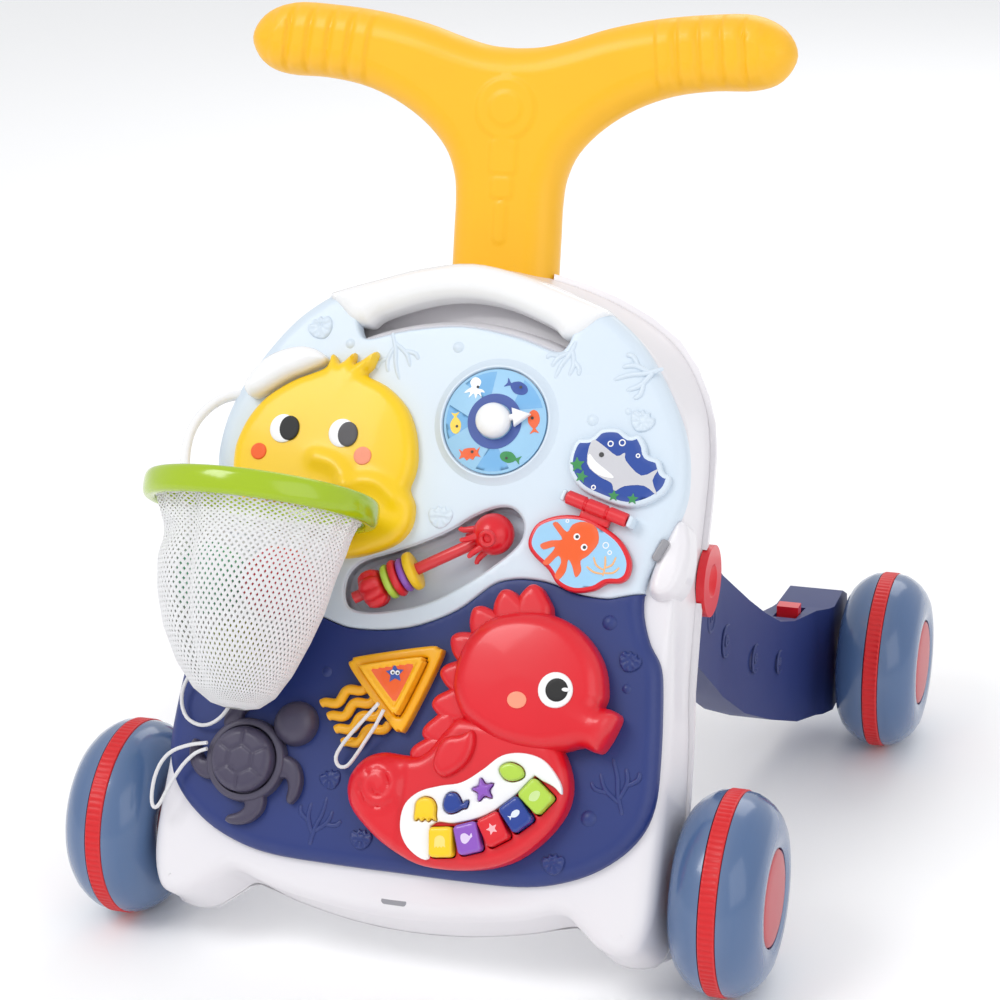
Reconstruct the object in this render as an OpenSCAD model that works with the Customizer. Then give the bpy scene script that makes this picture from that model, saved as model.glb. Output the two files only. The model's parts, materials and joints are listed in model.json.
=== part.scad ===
// Baby walker: a push-along frame on four wheels with a detachable play panel.
// Millimetres, +Z up, the front faces -Y and the origin is on the floor under the middle.

/* [Walker] */
// Diameter of every wheel
wheel_d = 105; // [100:1:110]
// Distance between the front and the rear axle
wheel_base = 308; // [300:1:316]
// Distance between the middles of the front wheels
front_track = 330; // [328:1:340]
// Distance between the middles of the rear wheels
rear_track = 374; // [372:1:384]
// Backward lean of the play panel and the frame
panel_tilt = 30; // [28:0.5:32]
// Backward lean of the push handle
handle_tilt = 15; // [12:1:20]

/* [Shells] */
// Wall thickness of the big shells
wall = 3; // [2.5:0.1:3.5]
// Depth of the frame from its front face to the parting line
frame_depth = 41; // [38:1:42]
// Thickness of the panel's visible rim
panel_rim = 8.5; // [8:0.5:9]
// Gap between pieces that move past each other
gap = 0.4; // [0.3:0.1:0.5]

/* [Net] */
// Outer radius of the hoop
hoop_r = 60; // [58:1:62]
// Height of the hoop
hoop_h = 17; // [14:1:18]
// Radius of the play balls in the net
ball_r = 19; // [17:0.5:19]

/* [Play pieces] */
// Radius of the picture dial
dial_r = 27.5; // [25:0.5:28]
// Width of a piano key
key_w = 12.4; // [10:0.1:12.5]
// Length of a piano key
key_l = 15; // [13:0.5:16]
// How far a key or button can be pressed
press = 2; // [1.5:0.1:2.2]
// Radius of the turtle's pull-out shell
turtle_r = 17; // [15:0.5:18]
// Diameter of the pull strings
string_d = 2; // [2:0.1:2.4]

/* [Hidden] */
$fn = 48;

axle_r = 4;
running = 0.05;
axle_z = wheel_d / 2;
front_y = -144;
rear_y = front_y + wheel_base;
// The panel's front plane meets the floor here.
panel_y = front_y - 88;
// Levels along the panel's normal: 0 is the panel's front surface.
face_n = -9;
split_n = face_n - frame_depth;
shelf_n = -24;
back_n = -22;
rear_n = -54;
// Leg hinge, as a height up the panel and a depth behind it
hinge_v = 248;
hinge_n = -64;
hinge_r = 5;
cap_r = 19;
eye_r = 20;
leg_x0 = 101.5;
leg_x1 = 124.5;
// Foot of the push handle's middle plane, where it leaves the frame
stem_y = front_y + 165;
stem_z = 325;
stem_half = 29.5;
handle_d = 32;

// Panel coordinates to the walker's own, and back
function panel_pt(p) = [p[0], panel_y + p[1] * sin(panel_tilt) - p[2] * cos(panel_tilt),
    p[1] * cos(panel_tilt) + p[2] * sin(panel_tilt)];
function to_v(y, z) = (y - panel_y) * sin(panel_tilt) + z * cos(panel_tilt);
function to_n(y, z) = z * sin(panel_tilt) - (y - panel_y) * cos(panel_tilt);

hinge = panel_pt([0, hinge_v, hinge_n]);
axle_v = to_v(front_y, axle_z);
axle_n = to_n(front_y, axle_z);

// Closed smooth curve through points, k steps to a span
function spline(a, b, c, d, t) = 0.5 * (2 * b + (c - a) * t + (2 * a - 5 * b + 4 * c - d) * t * t
    + (3 * b - a - 3 * c + d) * t * t * t);
function smooth(p, k = 3) = [for (i = [0:len(p) - 1]) for (j = [0:k - 1])
    spline(p[(i + len(p) - 1) % len(p)], p[i], p[(i + 1) % len(p)], p[(i + 2) % len(p)], j / k)];
// A right-hand half outline and its mirror image; both ends lie on the middle line.
function both(h) = concat(h, [for (i = [len(h) - 2:-1:1]) [-h[i][0], h[i][1]]]);

frame_rear_half = [[0, 405], [32, 400], [67, 389], [100, 370], [119, 343], [127, 312], [128.5, 264],
    [129, 233], [131, 189], [134.5, 160], [137.5, 120], [138.5, 75], [135.5, 53], [125, 46], [111, 47],
    [98, 56], [88, 62], [66, 56], [33, 50], [0, 48]];
frame_front_half = [[0, 396], [30, 392], [62, 381], [92, 363], [113, 338], [125, 310], [127, 266],
    [127, 233], [130, 189], [133, 160], [135, 120], [136, 78], [131, 57], [122, 51], [110, 53],
    [99, 61], [88, 67], [66, 61], [33, 56], [0, 54]];
lip_half = [[0, 408], [33, 403], [69, 392], [103, 372], [122, 344], [130, 313], [131.5, 264],
    [132, 233], [134, 189], [137, 160], [139.3, 120], [139.5, 75], [136, 52.5], [125, 45.5], [111, 46.5],
    [98, 55.5], [88, 61.5], [66, 55.5], [33, 49.5], [0, 47.5]];
panel_half = [[0, 394.5], [28, 390], [52, 382.5], [72, 376], [85, 368], [97, 357], [109, 341],
    [120, 322], [126, 306], [128.5, 290], [128, 277], [124, 264], [117, 248], [113, 235], [113, 222],
    [118, 207], [125, 196], [128, 182], [131, 150], [131, 125], [124, 107], [108, 92], [88, 82.5],
    [66, 78], [33, 77], [0, 77]];
seam = [[-150, 214], [-112, 226], [-95, 222], [-70, 208], [-48, 200], [-36, 198], [-19, 199], [-2, 203],
    [18, 213], [34, 227], [44, 231], [54, 232], [65, 231], [80, 227], [94, 226], [105, 229], [150, 240]];
stem_gap = 0.3;

module on_panel(n = 0) {
    translate([0, panel_y, 0]) rotate([90 - panel_tilt, 0, 0]) translate([0, 0, n]) children();
}
// A flat area in panel coordinates, made solid from level n0 to level n1
module slab(n0, n1) {
    translate([0, 0, n0]) linear_extrude(n1 - n0) children();
}
module outline(half, k = 2) {
    polygon(smooth(both(half), k));
}
module panel_body_area() {
    offset(delta = -5) outline(panel_half);
}
module above_seam(drop = 0) {
    translate([0, -drop]) polygon(concat(seam, [[150, 420], [-150, 420]]));
}
// The notch in the panel's top edge where the carry handle is
module carry_zone() {
    polygon([[-57, 360], [-30, 361.3], [0, 361.5], [30, 361.3], [57, 360], [73, 379], [62, 405],
        [-62, 405], [-73, 379]]);
}
module x_rod(r, x0, x1) {
    translate([x0, 0, 0]) rotate([0, 90, 0]) cylinder(r = r, h = x1 - x0);
}
module at_hinge() {
    translate([0, hinge[1], hinge[2]]) children();
}
module both_sides() {
    children();
    mirror([1, 0, 0]) children();
}
module on_handle(m = 0) {
    translate([0, stem_y, stem_z]) rotate([90 - handle_tilt, 0, 0]) translate([0, 0, m]) children();
}
// Tube swept along a list of points given in panel coordinates
function unit(v) = v / norm(v);
function heading(p, i) = unit(p[min(i + 1, len(p) - 1)] - p[max(i - 1, 0)]);
function side_of(d) = unit(cross(d, abs(d[2]) < 0.9 ? [0, 0, 1] : [1, 0, 0]));
function across(s, h) = unit(s - (s * h) * h);
function side_at(p, i) = i == 0 ? side_of(heading(p, 0)) : across(side_at(p, i - 1), heading(p, i));
module tube(points, d, sides = 8) {
    p = [for (q = points) panel_pt(q)];
    ring = [for (i = [0:len(p) - 1]) let (h = heading(p, i), a = side_at(p, i), b = cross(h, a))
        for (s = [0:sides - 1]) p[i] + (a * cos(360 * s / sides) + b * sin(360 * s / sides)) * d / 2];
    last = (len(p) - 1) * sides;
    polyhedron(points = ring, faces = concat(
        [[for (s = [0:sides - 1]) s]], [[for (s = [sides - 1:-1:0]) last + s]],
        [for (i = [0:len(p) - 2]) for (s = [0:sides - 1])
            [i * sides + s, (i + 1) * sides + s, (i + 1) * sides + (s + 1) % sides]],
        [for (i = [0:len(p) - 2]) for (s = [0:sides - 1])
            [i * sides + s, (i + 1) * sides + (s + 1) % sides, i * sides + (s + 1) % sides]]));
}
// Open smooth curve through points, k steps to a span
function route(p, k = 3) = concat([for (i = [0:len(p) - 2]) for (j = [0:k - 1])
    spline(p[max(i - 1, 0)], p[i], p[i + 1], p[min(i + 2, len(p) - 1)], j / k)], [p[len(p) - 1]]);

/* Frame */
screw_spots = [[-60, 372], [60, 372], [-112, 312], [112, 312], [-60, 108], [60, 108]];
latch_half = [[114.5, 232], [114.5, 241], [119, 258], [124, 268], [130, 266], [133, 254], [132.5, 238],
    [128, 230], [120, 227.5]];

module axle_blocks(n0, n1) {
    both_sides() translate([118, axle_v - 11, n0]) cube([20, 22, n1 - n0]);
}
module axle_hole(r) {
    translate([0, front_y, axle_z]) x_rod(r, -150, 150);
}
// The space that the handle's stem and its socket need
module stem_space(grow, s0, s1) {
    on_handle() translate([-stem_half - grow, s0, -handle_d / 2 - grow])
        cube([2 * (stem_half + grow), s1 - s0, handle_d + 2 * grow]);
}
module frame_front_shell() {
    mid_n = (split_n + face_n) / 2;
    color("whitesmoke") difference() {
        on_panel() {
            difference() {
                union() {
                    slab(split_n, mid_n) outline(frame_rear_half);
                    slab(mid_n, face_n) outline(frame_front_half);
                }
                slab(split_n - 1, mid_n - wall) offset(delta = -wall) outline(frame_rear_half);
                slab(split_n - 1, face_n - wall) offset(delta = -wall) outline(frame_front_half);
            }
            slab(shelf_n - 2, face_n) offset(delta = 2.6) panel_body_area();
            for (p = screw_spots) translate([p[0], p[1], split_n]) cylinder(r = 5, h = shelf_n - split_n);
            intersection() {
                axle_blocks(split_n, split_n + 14);
                slab(split_n, face_n) outline(frame_rear_half);
            }
        }
        on_panel() {
            slab(shelf_n, face_n + 1) offset(delta = 0.6) panel_body_area();
            slab(face_n - wall - 1, face_n + 1) translate([-8, 60]) square([16, 17]);
            both_sides() slab(shelf_n - 3, face_n + 1) offset(delta = gap) polygon(smooth(latch_half));
            both_sides() slab(shelf_n - 3, face_n + 1) translate([125, 231]) square([10, 33]);
            for (p = screw_spots) translate([p[0], p[1], split_n - 1]) cylinder(r = 1.5, h = 15);
        }
        axle_hole(axle_r);
        stem_space(4, -60, 60);
    }
}
module hinge_ear(x0, x1) {
    difference() {
        union() {
            at_hinge() x_rod(cap_r, x0, x1);
            on_panel() translate([x0, hinge_v - 17, hinge_n]) cube([x1 - x0, 34, rear_n + 2 - hinge_n]);
        }
        at_hinge() x_rod(hinge_r, x0 - 1, x1 + 1);
        on_panel() translate([x0 - 1, hinge_v - 30, split_n - 1]) cube([x1 - x0 + 2, 60, 20]);
    }
}
module frame_rear_shell() {
    color("whitesmoke") {
        difference() {
            union() {
                on_panel() {
                    slab(rear_n, split_n - 0.3) outline(lip_half);
                    both_sides() slab(-70, rear_n + 1) offset(r = 8) translate([116, 58]) square([13, 42]);
                    axle_blocks(-66, split_n - 1);
                }
                stem_space(3.4, -52, -8);
            }
            axle_hole(axle_r);
            stem_space(stem_gap, -49, 60);
            at_hinge() both_sides() x_rod(42, leg_x0 - 3, leg_x1 + 2);
            at_hinge() both_sides() x_rod(cap_r + 0.6, leg_x1 + 4.2, leg_x1 + 20);
            on_panel() {
                both_sides() slab(-67, split_n) offset(r = 5) translate([116, 58]) square([13, 14]);
                both_sides() slab(rear_n - 1, split_n) translate([leg_x0 - 2, 158])
                    square([leg_x1 - leg_x0 + 3, 60]);
                for (p = screw_spots) translate([p[0], p[1], rear_n - 1]) cylinder(r = 1.5, h = 8);
            }
        }
        both_sides() {
            hinge_ear(leg_x0 - 5.5, leg_x0 - 0.5);
            hinge_ear(leg_x1 + 0.5, leg_x1 + 4.5);
        }
    }
}
module frame_screws() {
    color("silver") on_panel() for (p = screw_spots) translate([p[0], p[1], 0]) {
        translate([0, 0, rear_n - 2]) cylinder(r = 4, h = 2);
        translate([0, 0, rear_n - 2]) cylinder(r = 1.5, h = 14);
    }
}
module side_latches() {
    color("white") on_panel() both_sides() slab(shelf_n, face_n + 4) polygon(smooth(latch_half));
}
module release_tab() {
    color("gainsboro") on_panel() {
        slab(face_n - wall - 4, face_n - 0.4) translate([-7, 66]) square([14, 10]);
        slab(face_n - wall - 4, face_n - wall - gap) translate([-9.5, 64]) square([19, 13]);
    }
}
module front_axle() {
    color("silver") translate([0, front_y, axle_z]) x_rod(axle_r, -front_track / 2 - 18, front_track / 2 + 18);
}

/* Push handle */
handle_half = [[0, 117], [14, 118], [30, 122], [52, 129], [78, 134.5], [105, 137.5], [130, 138], [146, 131],
    [153, 118], [146, 104.5], [132, 99], [110, 98], [88, 94.5], [68, 87], [50, 75.5], [37, 62], [31, 48],
    [stem_half, 34], [stem_half, 20]];
stem_len = 47;

module handle_area() {
    half = concat(route(handle_half, 2), [[stem_half, -stem_len]]);
    polygon(concat(half, [for (i = [len(half) - 1:-1:1]) [-half[i][0], half[i][1]]]));
}
module push_handle() {
    color("gold") on_handle() difference() {
        slab(-handle_d / 2, handle_d / 2) handle_area();
        slab(wall - handle_d / 2, handle_d / 2 - wall) offset(delta = -wall) handle_area();
        slab(wall - handle_d / 2, handle_d / 2 - wall) translate([wall - stem_half, -stem_len - 1])
            square([2 * (stem_half - wall), 20]);
    }
}

/* Wheels: x runs outward from the wheel's middle plane, r from its axle */
tyre_r = wheel_d / 2 - 1;
core_r = wheel_d / 2;
module wheel_solid(profile) {
    rotate([0, 90, 0]) rotate_extrude() polygon(profile);
}
module wheel_place(side, y, track) {
    translate([side * track / 2, y, axle_z]) mirror([side < 0 ? 1 : 0, 0, 0]) children();
}
module wheel_core() {
    bore = axle_r + running;
    color("crimson") {
        wheel_solid([[bore, -23], [18, -23], [18, -20], [12, -18], [12, -1.5], [core_r - 5, -1.5],
            [core_r - 5, -6], [core_r, -6], [core_r, 6], [core_r - 5, 6], [core_r - 5, 1.5], [12, 1.5],
            [12, 20], [25.2, 20], [25.2, 23], [0, 23], [0, 19], [bore, 19]]);
    }
}
module wheel_tyre() {
    outer = [[25.4, 22.6], [31, 23.6], [38, 22.4], [45, 18.4], [49.4, 12.4], [tyre_r, 6.2]];
    inner = [[core_r - 5.2, 6.2], [46, 10.4], [42.4, 15.6], [36.6, 19.4], [31, 20.6], [25.4, 19.8]];
    color("slategray") {
        wheel_solid(concat(outer, inner));
        mirror([1, 0, 0]) wheel_solid(concat([[18.4, 21.6], [24, 22.8]], [for (i = [1:5]) outer[i]],
            [for (i = [0:4]) inner[i]], [[24, 19.8], [18.4, 18.6]]));
    }
}

/* Rear legs: outlines are seen from the side, measured back and up from the hinge */
leg_side = concat([for (a = [200:-21:53]) eye_r * [cos(a), sin(a)]],
    [[45, -10], [84, -39], [121, -67], [141, -80], [160, -87], [190, -92], [200, -94], [230, -94],
    [243, -101], [247, -115], [247, -140], [242, -154], [228, -162], [196, -162], [165, -154],
    [130, -138], [93, -118], [37, -77], [2, -50], [-10, -38], [-17, -25]]);
leg_plan_out = [[-45, leg_x1], [60, leg_x1], [100, 130], [150, 141], [190, 150], [204, 158], [260, 158]];
leg_plan_in = [[260, 127], [190, 123], [140, 113], [90, 105], [60, leg_x0], [-45, leg_x0]];
wheel_dy = rear_y - hinge[1];
wheel_dz = axle_z - hinge[2];
lever_y = 179;
lever_z = -101;
lever_x0 = 129;
lever_x1 = 142;

module leg_side_solid(x0, x1) {
    translate([x0, 0, 0]) rotate([90, 0, 90]) linear_extrude(x1 - x0) children();
}
module leg_plan_solid(points) {
    translate([0, 0, -200]) linear_extrude(300) polygon([for (p = points) [p[1], p[0]]]);
}
module leg() {
    color("darkslateblue") at_hinge() difference() {
        union() {
            difference() {
                intersection() {
                    leg_side_solid(90, 160) polygon(leg_side);
                    leg_plan_solid(concat(leg_plan_out, leg_plan_in));
                }
                intersection() {
                    leg_side_solid(90, 160) offset(delta = -wall) polygon(leg_side);
                    leg_plan_solid([[-45, leg_x1 - wall], [60, leg_x1 - wall], [100, 127], [150, 138],
                        [150, 90], [-45, 90]]);
                }
            }
            x_rod(13, leg_x0, leg_x1);
        }
        x_rod(hinge_r + running, 90, 130);
        translate([0, wheel_dy, wheel_dz]) x_rod(axle_r, 128, 160);
        translate([lever_x0 - gap, lever_y - 13, lever_z - 12])
            cube([lever_x1 - lever_x0 + 2 * gap, 29, 60]);
        translate([0, lever_y, lever_z]) x_rod(2 + running, lever_x0 - 3.1, lever_x1 + 3.1);
    }
}
module hinge_pins() {
    x1 = leg_x1 + 4.5;
    color("crimson") at_hinge() both_sides() {
        difference() {
            x_rod(cap_r, x1, x1 + 4.5);
            translate([x1 + 12, 0, 0]) sphere(r = 11.5);
        }
        x_rod(hinge_r, leg_x0 - 5.5, x1 + 1);
    }
}
module rear_axle() {
    color("silver") translate([0, rear_y, axle_z]) x_rod(axle_r, 130, rear_track / 2 + 18);
}
module brake_lever() {
    color("crimson") at_hinge() translate([0, lever_y, lever_z]) {
        translate([lever_x0, -4, -6]) cube([lever_x1 - lever_x0, 8, 22]);
        x_rod(2, lever_x0 - 3, lever_x1 + 3);
    }
}

/* Play panel */
dial_at = [25, 311];
post_r = 3;
slot_area = [[-45, 218], [-42, 209], [-32, 206.5], [-16, 209], [2, 215], [20, 226], [36, 239], [46, 250],
    [47, 260], [41, 267], [32, 267.5], [20, 262], [8, 253.5], [-6, 246], [-22, 239], [-36, 233.5], [-43, 227]];
bar_mid = [86, 270];
bar_turn = -16.4;
bar_n = 6;
bar_len = 34;

module on_bar() {
    translate([bar_mid[0], bar_mid[1], bar_n]) rotate([0, 0, bar_turn]) children();
}
module panel_shell(upper) {
    module half_area() {
        if (upper) {
            above_seam();
        } else {
            difference() {
                square(900, center = true);
                above_seam(0.3);
            }
        }
    }
    slab(-panel_rim, 0) intersection() {
        outline(panel_half);
        half_area();
    }
    slab(back_n, -panel_rim) intersection() {
        panel_body_area();
        half_area();
    }
}
// What is hollow behind the panel's face, and the carry handle's notch
module panel_hollow() {
    slab(back_n - 1, -wall) offset(delta = -2.5) panel_body_area();
    slab(back_n - 1, 1) carry_zone();
    both_sides() slab(back_n - 1, face_n + 4 + gap) offset(delta = gap) polygon(smooth(latch_half));
}
module panel_upper() {
    color("lightsteelblue") on_panel() {
        difference() {
            panel_shell(true);
            difference() {
                panel_hollow();
                slab(-16.5, 0) offset(delta = 2.5) polygon(slot_area);
            }
            slab(-14, 1) polygon(slot_area);
            slab(-4, 1) both_sides() translate([118.5, 253]) rotate(-24) square([6, 13], center = true);
        }
        translate([dial_at[0], dial_at[1], -0.5]) {
            cylinder(r = post_r, h = 10.5);
            difference() {
                cylinder(r = dial_r + 5, h = 4);
                translate([0, 0, -1]) cylinder(r = dial_r + 1, h = 6);
            }
        }
        on_bar() for (s = [-1, 1]) difference() {
            translate([s * (bar_len / 2 + 1.8) - 1.25, -3, -bar_n - 0.5]) cube([2.5, 6, bar_n + 3]);
            x_rod(1.6 + running, -bar_len, bar_len);
        }
    }
}
module panel_lower() {
    color("midnightblue") on_panel() difference() {
        panel_shell(false);
        panel_hollow();
    }
}
module carry_area() {
    inner = [[-58, 359.5], [-46, 364], [-28, 371], [-14, 375], [0, 376.5], [14, 375], [28, 371], [46, 364],
        [58, 359.5]];
    intersection() {
        outline(panel_half);
        offset(delta = -0.2) carry_zone();
        polygon(concat(inner, [[80, 359.5], [80, 410], [-80, 410], [-80, 359.5]]));
    }
}
// The grip rests on the frame's face, and a thinner back part goes down into the panel's pocket.
module carry_handle() {
    color("whitesmoke") on_panel() {
        slab(face_n, 2) carry_area();
        slab(-16, face_n + 1) intersection() {
            carry_area();
            panel_body_area();
        }
    }
}
door = [58, 56];
door_at = [-29, 126];
module panel_back() {
    color("whitesmoke") on_panel() difference() {
        slab(back_n - 1.7, back_n) difference() {
            panel_body_area();
            translate(door_at) square(door);
            carry_zone();
        }
        for (i = [-3:3]) translate([70 + i * 4, 132, back_n - 3]) cube([2, 36, 5]);
    }
}
module battery_door() {
    color("gainsboro") on_panel() slab(back_n - 1.7, back_n) offset(delta = -gap)
        translate(door_at) square(door);
}
module batteries() {
    color("goldenrod") on_panel() for (i = [-1:1]) translate([i * 16, door_at[1] + 3, -12.5])
        rotate([-90, 0, 0]) {
            cylinder(r = 7.1, h = 49);
            cylinder(r = 2.7, h = 50.5);
        }
}
module circuit_board() {
    color("seagreen") on_panel() {
        translate([40, 100, back_n + 2]) cube([66, 84, 1.6]);
        for (i = [0:2]) translate([46, 108 + i * 24, back_n + 3.6]) cube([10, 12, 2.4]);
    }
}
module speaker() {
    color("dimgray") on_panel() translate([80, 150, back_n + 3.6]) {
        cylinder(r = 18, h = 5);
        cylinder(r = 9, h = 11);
    }
}
module shark_plate() {
    plate = [[67, 297], [73, 305], [88, 309], [99, 308], [105, 304], [114, 297], [120, 290], [118, 282],
        [111, 275.5], [100, 272.5], [86, 275.5], [75, 280], [68, 288]];
    color("white") on_panel() slab(0, 3.5) polygon(smooth(plate));
}
module octopus_flap() {
    plate = [[52, 254], [56, 261], [67, 265], [80, 265], [91, 261], [100, 255], [106, 246], [106, 238],
        [102, 234], [95, 233], [89, 229], [79, 227], [70, 230], [64, 237], [56, 243], [52, 248]];
    color("crimson") on_panel() difference() {
        union() {
            slab(0.8, 4.4) polygon(smooth(plate));
            on_bar() {
                x_rod(3.5, -bar_len / 2, bar_len / 2);
                x_rod(1.6, -bar_len / 2 - 2.8, bar_len / 2 + 2.8);
                translate([-8, -10, 0.8 - bar_n]) cube([16, 10, 4]);
            }
        }
        slab(3.6, 6) difference() {
            offset(delta = -2.6) polygon(smooth(plate));
            translate([86, 272]) square([22, 22], center = true);
        }
    }
}
module dial_disc() {
    color("skyblue") on_panel() translate([dial_at[0], dial_at[1], gap]) difference() {
        cylinder(r = dial_r, h = 2.6);
        translate([0, 0, -1]) cylinder(r = post_r + running, h = 5);
        for (a = [0:30:330]) rotate(a) translate([dial_r + 0.4, 0, -1]) cylinder(r = 1.6, h = 5);
    }
}
module dial_knob() {
    color("white") on_panel() translate([dial_at[0], dial_at[1], gap + 2.6 + gap]) difference() {
        union() {
            cylinder(r = 9, h = 8.5);
            linear_extrude(4) polygon([[0, 6.5], [17, 8.5], [19, 6], [17, 3.5], [6, -4]]);
        }
        translate([0, 0, -1]) cylinder(r = post_r + running, h = 8);
    }
}

/* Bead rail: x runs along the rod from the flower end */
rail_from = [-30, 219];
rail_turn = 29.4;
rail_n = -2;
rod_r = 3.2;
bead_list = [[8, 4, 9.4], [12.4, 4, 10], [16.8, 4, 9.2], [21.2, 4.6, 10.4]];
module on_rail() {
    translate([rail_from[0], rail_from[1], rail_n]) rotate([0, 0, rail_turn]) children();
}
module bead_rail() {
    color("crimson") on_panel() on_rail() {
        difference() {
            rotate([0, 90, 0]) rotate_extrude() polygon(concat([[0, -18], [rod_r, -18], [rod_r, -5],
                [10.6, -5], [10.6, 7], [rod_r, 7], [rod_r, 55], [8.5, 55], [8.5, 59], [6, 59]],
                [for (a = [34:12:154]) [10.8 * sin(a), 70 - 10.8 * cos(a)]],
                [[rod_r, 80.5], [rod_r, 91], [0, 91]]));
            for (a = [22.5:45:337.5]) rotate([a, 0, 0]) translate([0, 0, 12]) x_rod(2.6, -6, 8);
        }
    }
}
module ring_beads() {
    color("yellowgreen") on_panel() on_rail() for (b = bead_list) difference() {
        x_rod(b[2], b[0], b[0] + b[1]);
        x_rod(rod_r + 0.08, b[0] - 1, b[0] + b[1] + 1);
    }
}

/* Duck, hoop and net */
hoop_at = [-71.5, 251, 62];
module on_hoop() {
    on_panel() translate(hoop_at) rotate([90, 0, 0]) children();
}
module duck_head() {
    face = [[-115, 283], [-113.5, 293], [-109, 304], [-101, 314.5], [-88, 324], [-73, 331], [-70, 335],
        [-66, 341], [-62, 335], [-57, 341], [-53, 335], [-46, 343], [-46, 335], [-48, 330], [-36, 325],
        [-24, 315], [-17, 302], [-14, 288], [-15, 278], [-16, 271], [-11.5, 264], [-12, 253], [-18, 244],
        [-29, 238], [-44, 233.5], [-62, 232.5], [-78, 235], [-94, 242], [-106, 254], [-113, 268]];
    color("gold") on_panel() difference() {
        union() {
            slab(0, 9) polygon(face);
            slab(0, 13) polygon(smooth([[-94, 262], [-88, 276], [-72, 284], [-54, 281], [-44, 274],
                [-26, 270], [-16, 262], [-15, 252], [-24, 243], [-42, 238], [-70, 237], [-88, 246]]));
        }
        translate([hoop_at[0], hoop_at[1] + hoop_h / 2 + gap, hoop_at[2]]) rotate([90, 0, 0])
            cylinder(r = hoop_r + 0.5, h = hoop_h + 2 * gap);
        translate(hoop_at) rotate([90, 0, 0]) cylinder(r = hoop_r - 8, h = 22);
    }
}
module net_hoop() {
    h = hoop_h / 2;
    color("yellowgreen") on_hoop() rotate_extrude() polygon([[hoop_r - 7, -h + 2], [hoop_r - 5, -h],
        [hoop_r - 2.5, -h], [hoop_r - 0.6, -h + 3], [hoop_r, 0], [hoop_r - 0.6, h - 3], [hoop_r - 2.5, h],
        [hoop_r - 5, h], [hoop_r - 7, h - 2]]);
}
// Cross-sections of the bag: sideways, up and out from the panel, and the radius there
bag_rings = [[-71.5, 243, 62, 51], [-73, 232, 60, 48.5], [-76, 216, 56, 45.5], [-79, 200, 50, 42],
    [-82, 184, 43, 37], [-84, 168, 35, 29.5], [-85, 156, 28.5, 21], [-85, 149, 25, 12]];
module bag_loft(shrink, lift) {
    n = 24;
    pts = [for (r = bag_rings) for (i = [0:n - 1])
        panel_pt([r[0] + (r[3] - shrink) * cos(360 * i / n), r[1] + (r[1] > 240 ? lift : shrink),
            r[2] + (r[3] - shrink) * sin(360 * i / n)])];
    last = (len(bag_rings) - 1) * n;
    polyhedron(points = pts, faces = concat([[for (i = [0:n - 1]) i]], [[for (i = [n - 1:-1:0]) last + i]],
        [for (k = [0:len(bag_rings) - 2]) for (i = [0:n - 1])
            [k * n + i, (k + 1) * n + (i + 1) % n, k * n + (i + 1) % n]],
        [for (k = [0:len(bag_rings) - 2]) for (i = [0:n - 1])
            [k * n + i, (k + 1) * n + i, (k + 1) * n + (i + 1) % n]]));
}
module net_bag() {
    color("white") difference() {
        bag_loft(0, 0);
        bag_loft(1.6, 3);
    }
}
module net_balls() {
    color("mediumseagreen") for (p = [[-98, 210, 50], [-59, 211, 54], [-83, 174, 38]])
        translate(panel_pt(p)) sphere(r = ball_r);
}
rod_route = [[-116, 312, -5], [-126, 310, -4], [-134, 304, 2], [-138, 294, 12], [-137, 281, 22],
    [-133, 269, 29], [-128, 260, 33]];
module fishing_rod() {
    grip = [[-113, 321], [-105, 331], [-93, 338], [-80, 340], [-73, 338], [-79, 332], [-91, 325.5],
        [-103, 317], [-110, 315]];
    color("white") {
        tube(route(rod_route), 5.5, 12);
        on_panel() slab(0, 12) polygon(smooth(grip));
    }
}

/* Strings, as routes in panel coordinates */
net_string_route = [[-105, 172, 14.5], [-113, 170, 10], [-120, 165, 7], [-124, 157, 5], [-124, 149, 4],
    [-120, 142, 4], [-113, 139, 4], [-106, 140, 5], [-99, 145, 7], [-93, 153, 10.5]];
turtle_string_route = [[-104, 127, 9], [-111, 124, 7], [-118, 117, 5], [-124, 106, 4], [-128, 96, 4],
    [-131, 94, 4], [-133, 99, 4], [-133, 109, 4], [-130, 118, 4.5], [-124, 124, 6], [-114, 128, 8],
    [-104, 130, 10]];
jelly_string_route = [[-13, 160, 12.5], [-18, 154, 11], [-25, 146, 8.5], [-31, 138, 7], [-34, 131, 6.5],
    [-32, 126.5, 6], [-27.5, 127, 6], [-23.5, 133, 6], [-19, 141, 7], [-14, 149, 9.5], [-10, 157, 12]];
module net_string() {
    color("white") tube(route(net_string_route), string_d);
}
module turtle_string() {
    color("white") tube(route(turtle_string_route), string_d);
}

module jelly_string() {
    color("white") tube(route(jelly_string_route), string_d);
}

/* Seahorse keyboard */
keys = [[31, 95, 8], [44.5, 98.5, 20], [57, 104.5, 33], [67.5, 113, 42], [76.5, 123, 52]];
buttons = [[20.5, 110], [35.5, 114.5], [49, 123], [62.5, 133.5]];
button_r = 5.6;
body_n = 13;
plate_n = body_n + 2.5;
// A key starts 2 mm below the body's face and needs room under it for its press.
well_n = body_n - 2 - press - gap;
key_n = 18.5;
plate_area = [[25, 86], [15, 89], [8.5, 98], [8.5, 110], [15, 118], [26, 122.5], [37, 125.5], [47, 133],
    [56, 141], [67, 143.5], [78, 141], [87, 132], [89, 125.5], [84, 129], [75, 131], [68, 125], [58, 115],
    [48, 109], [36, 105], [25, 103]];

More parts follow.
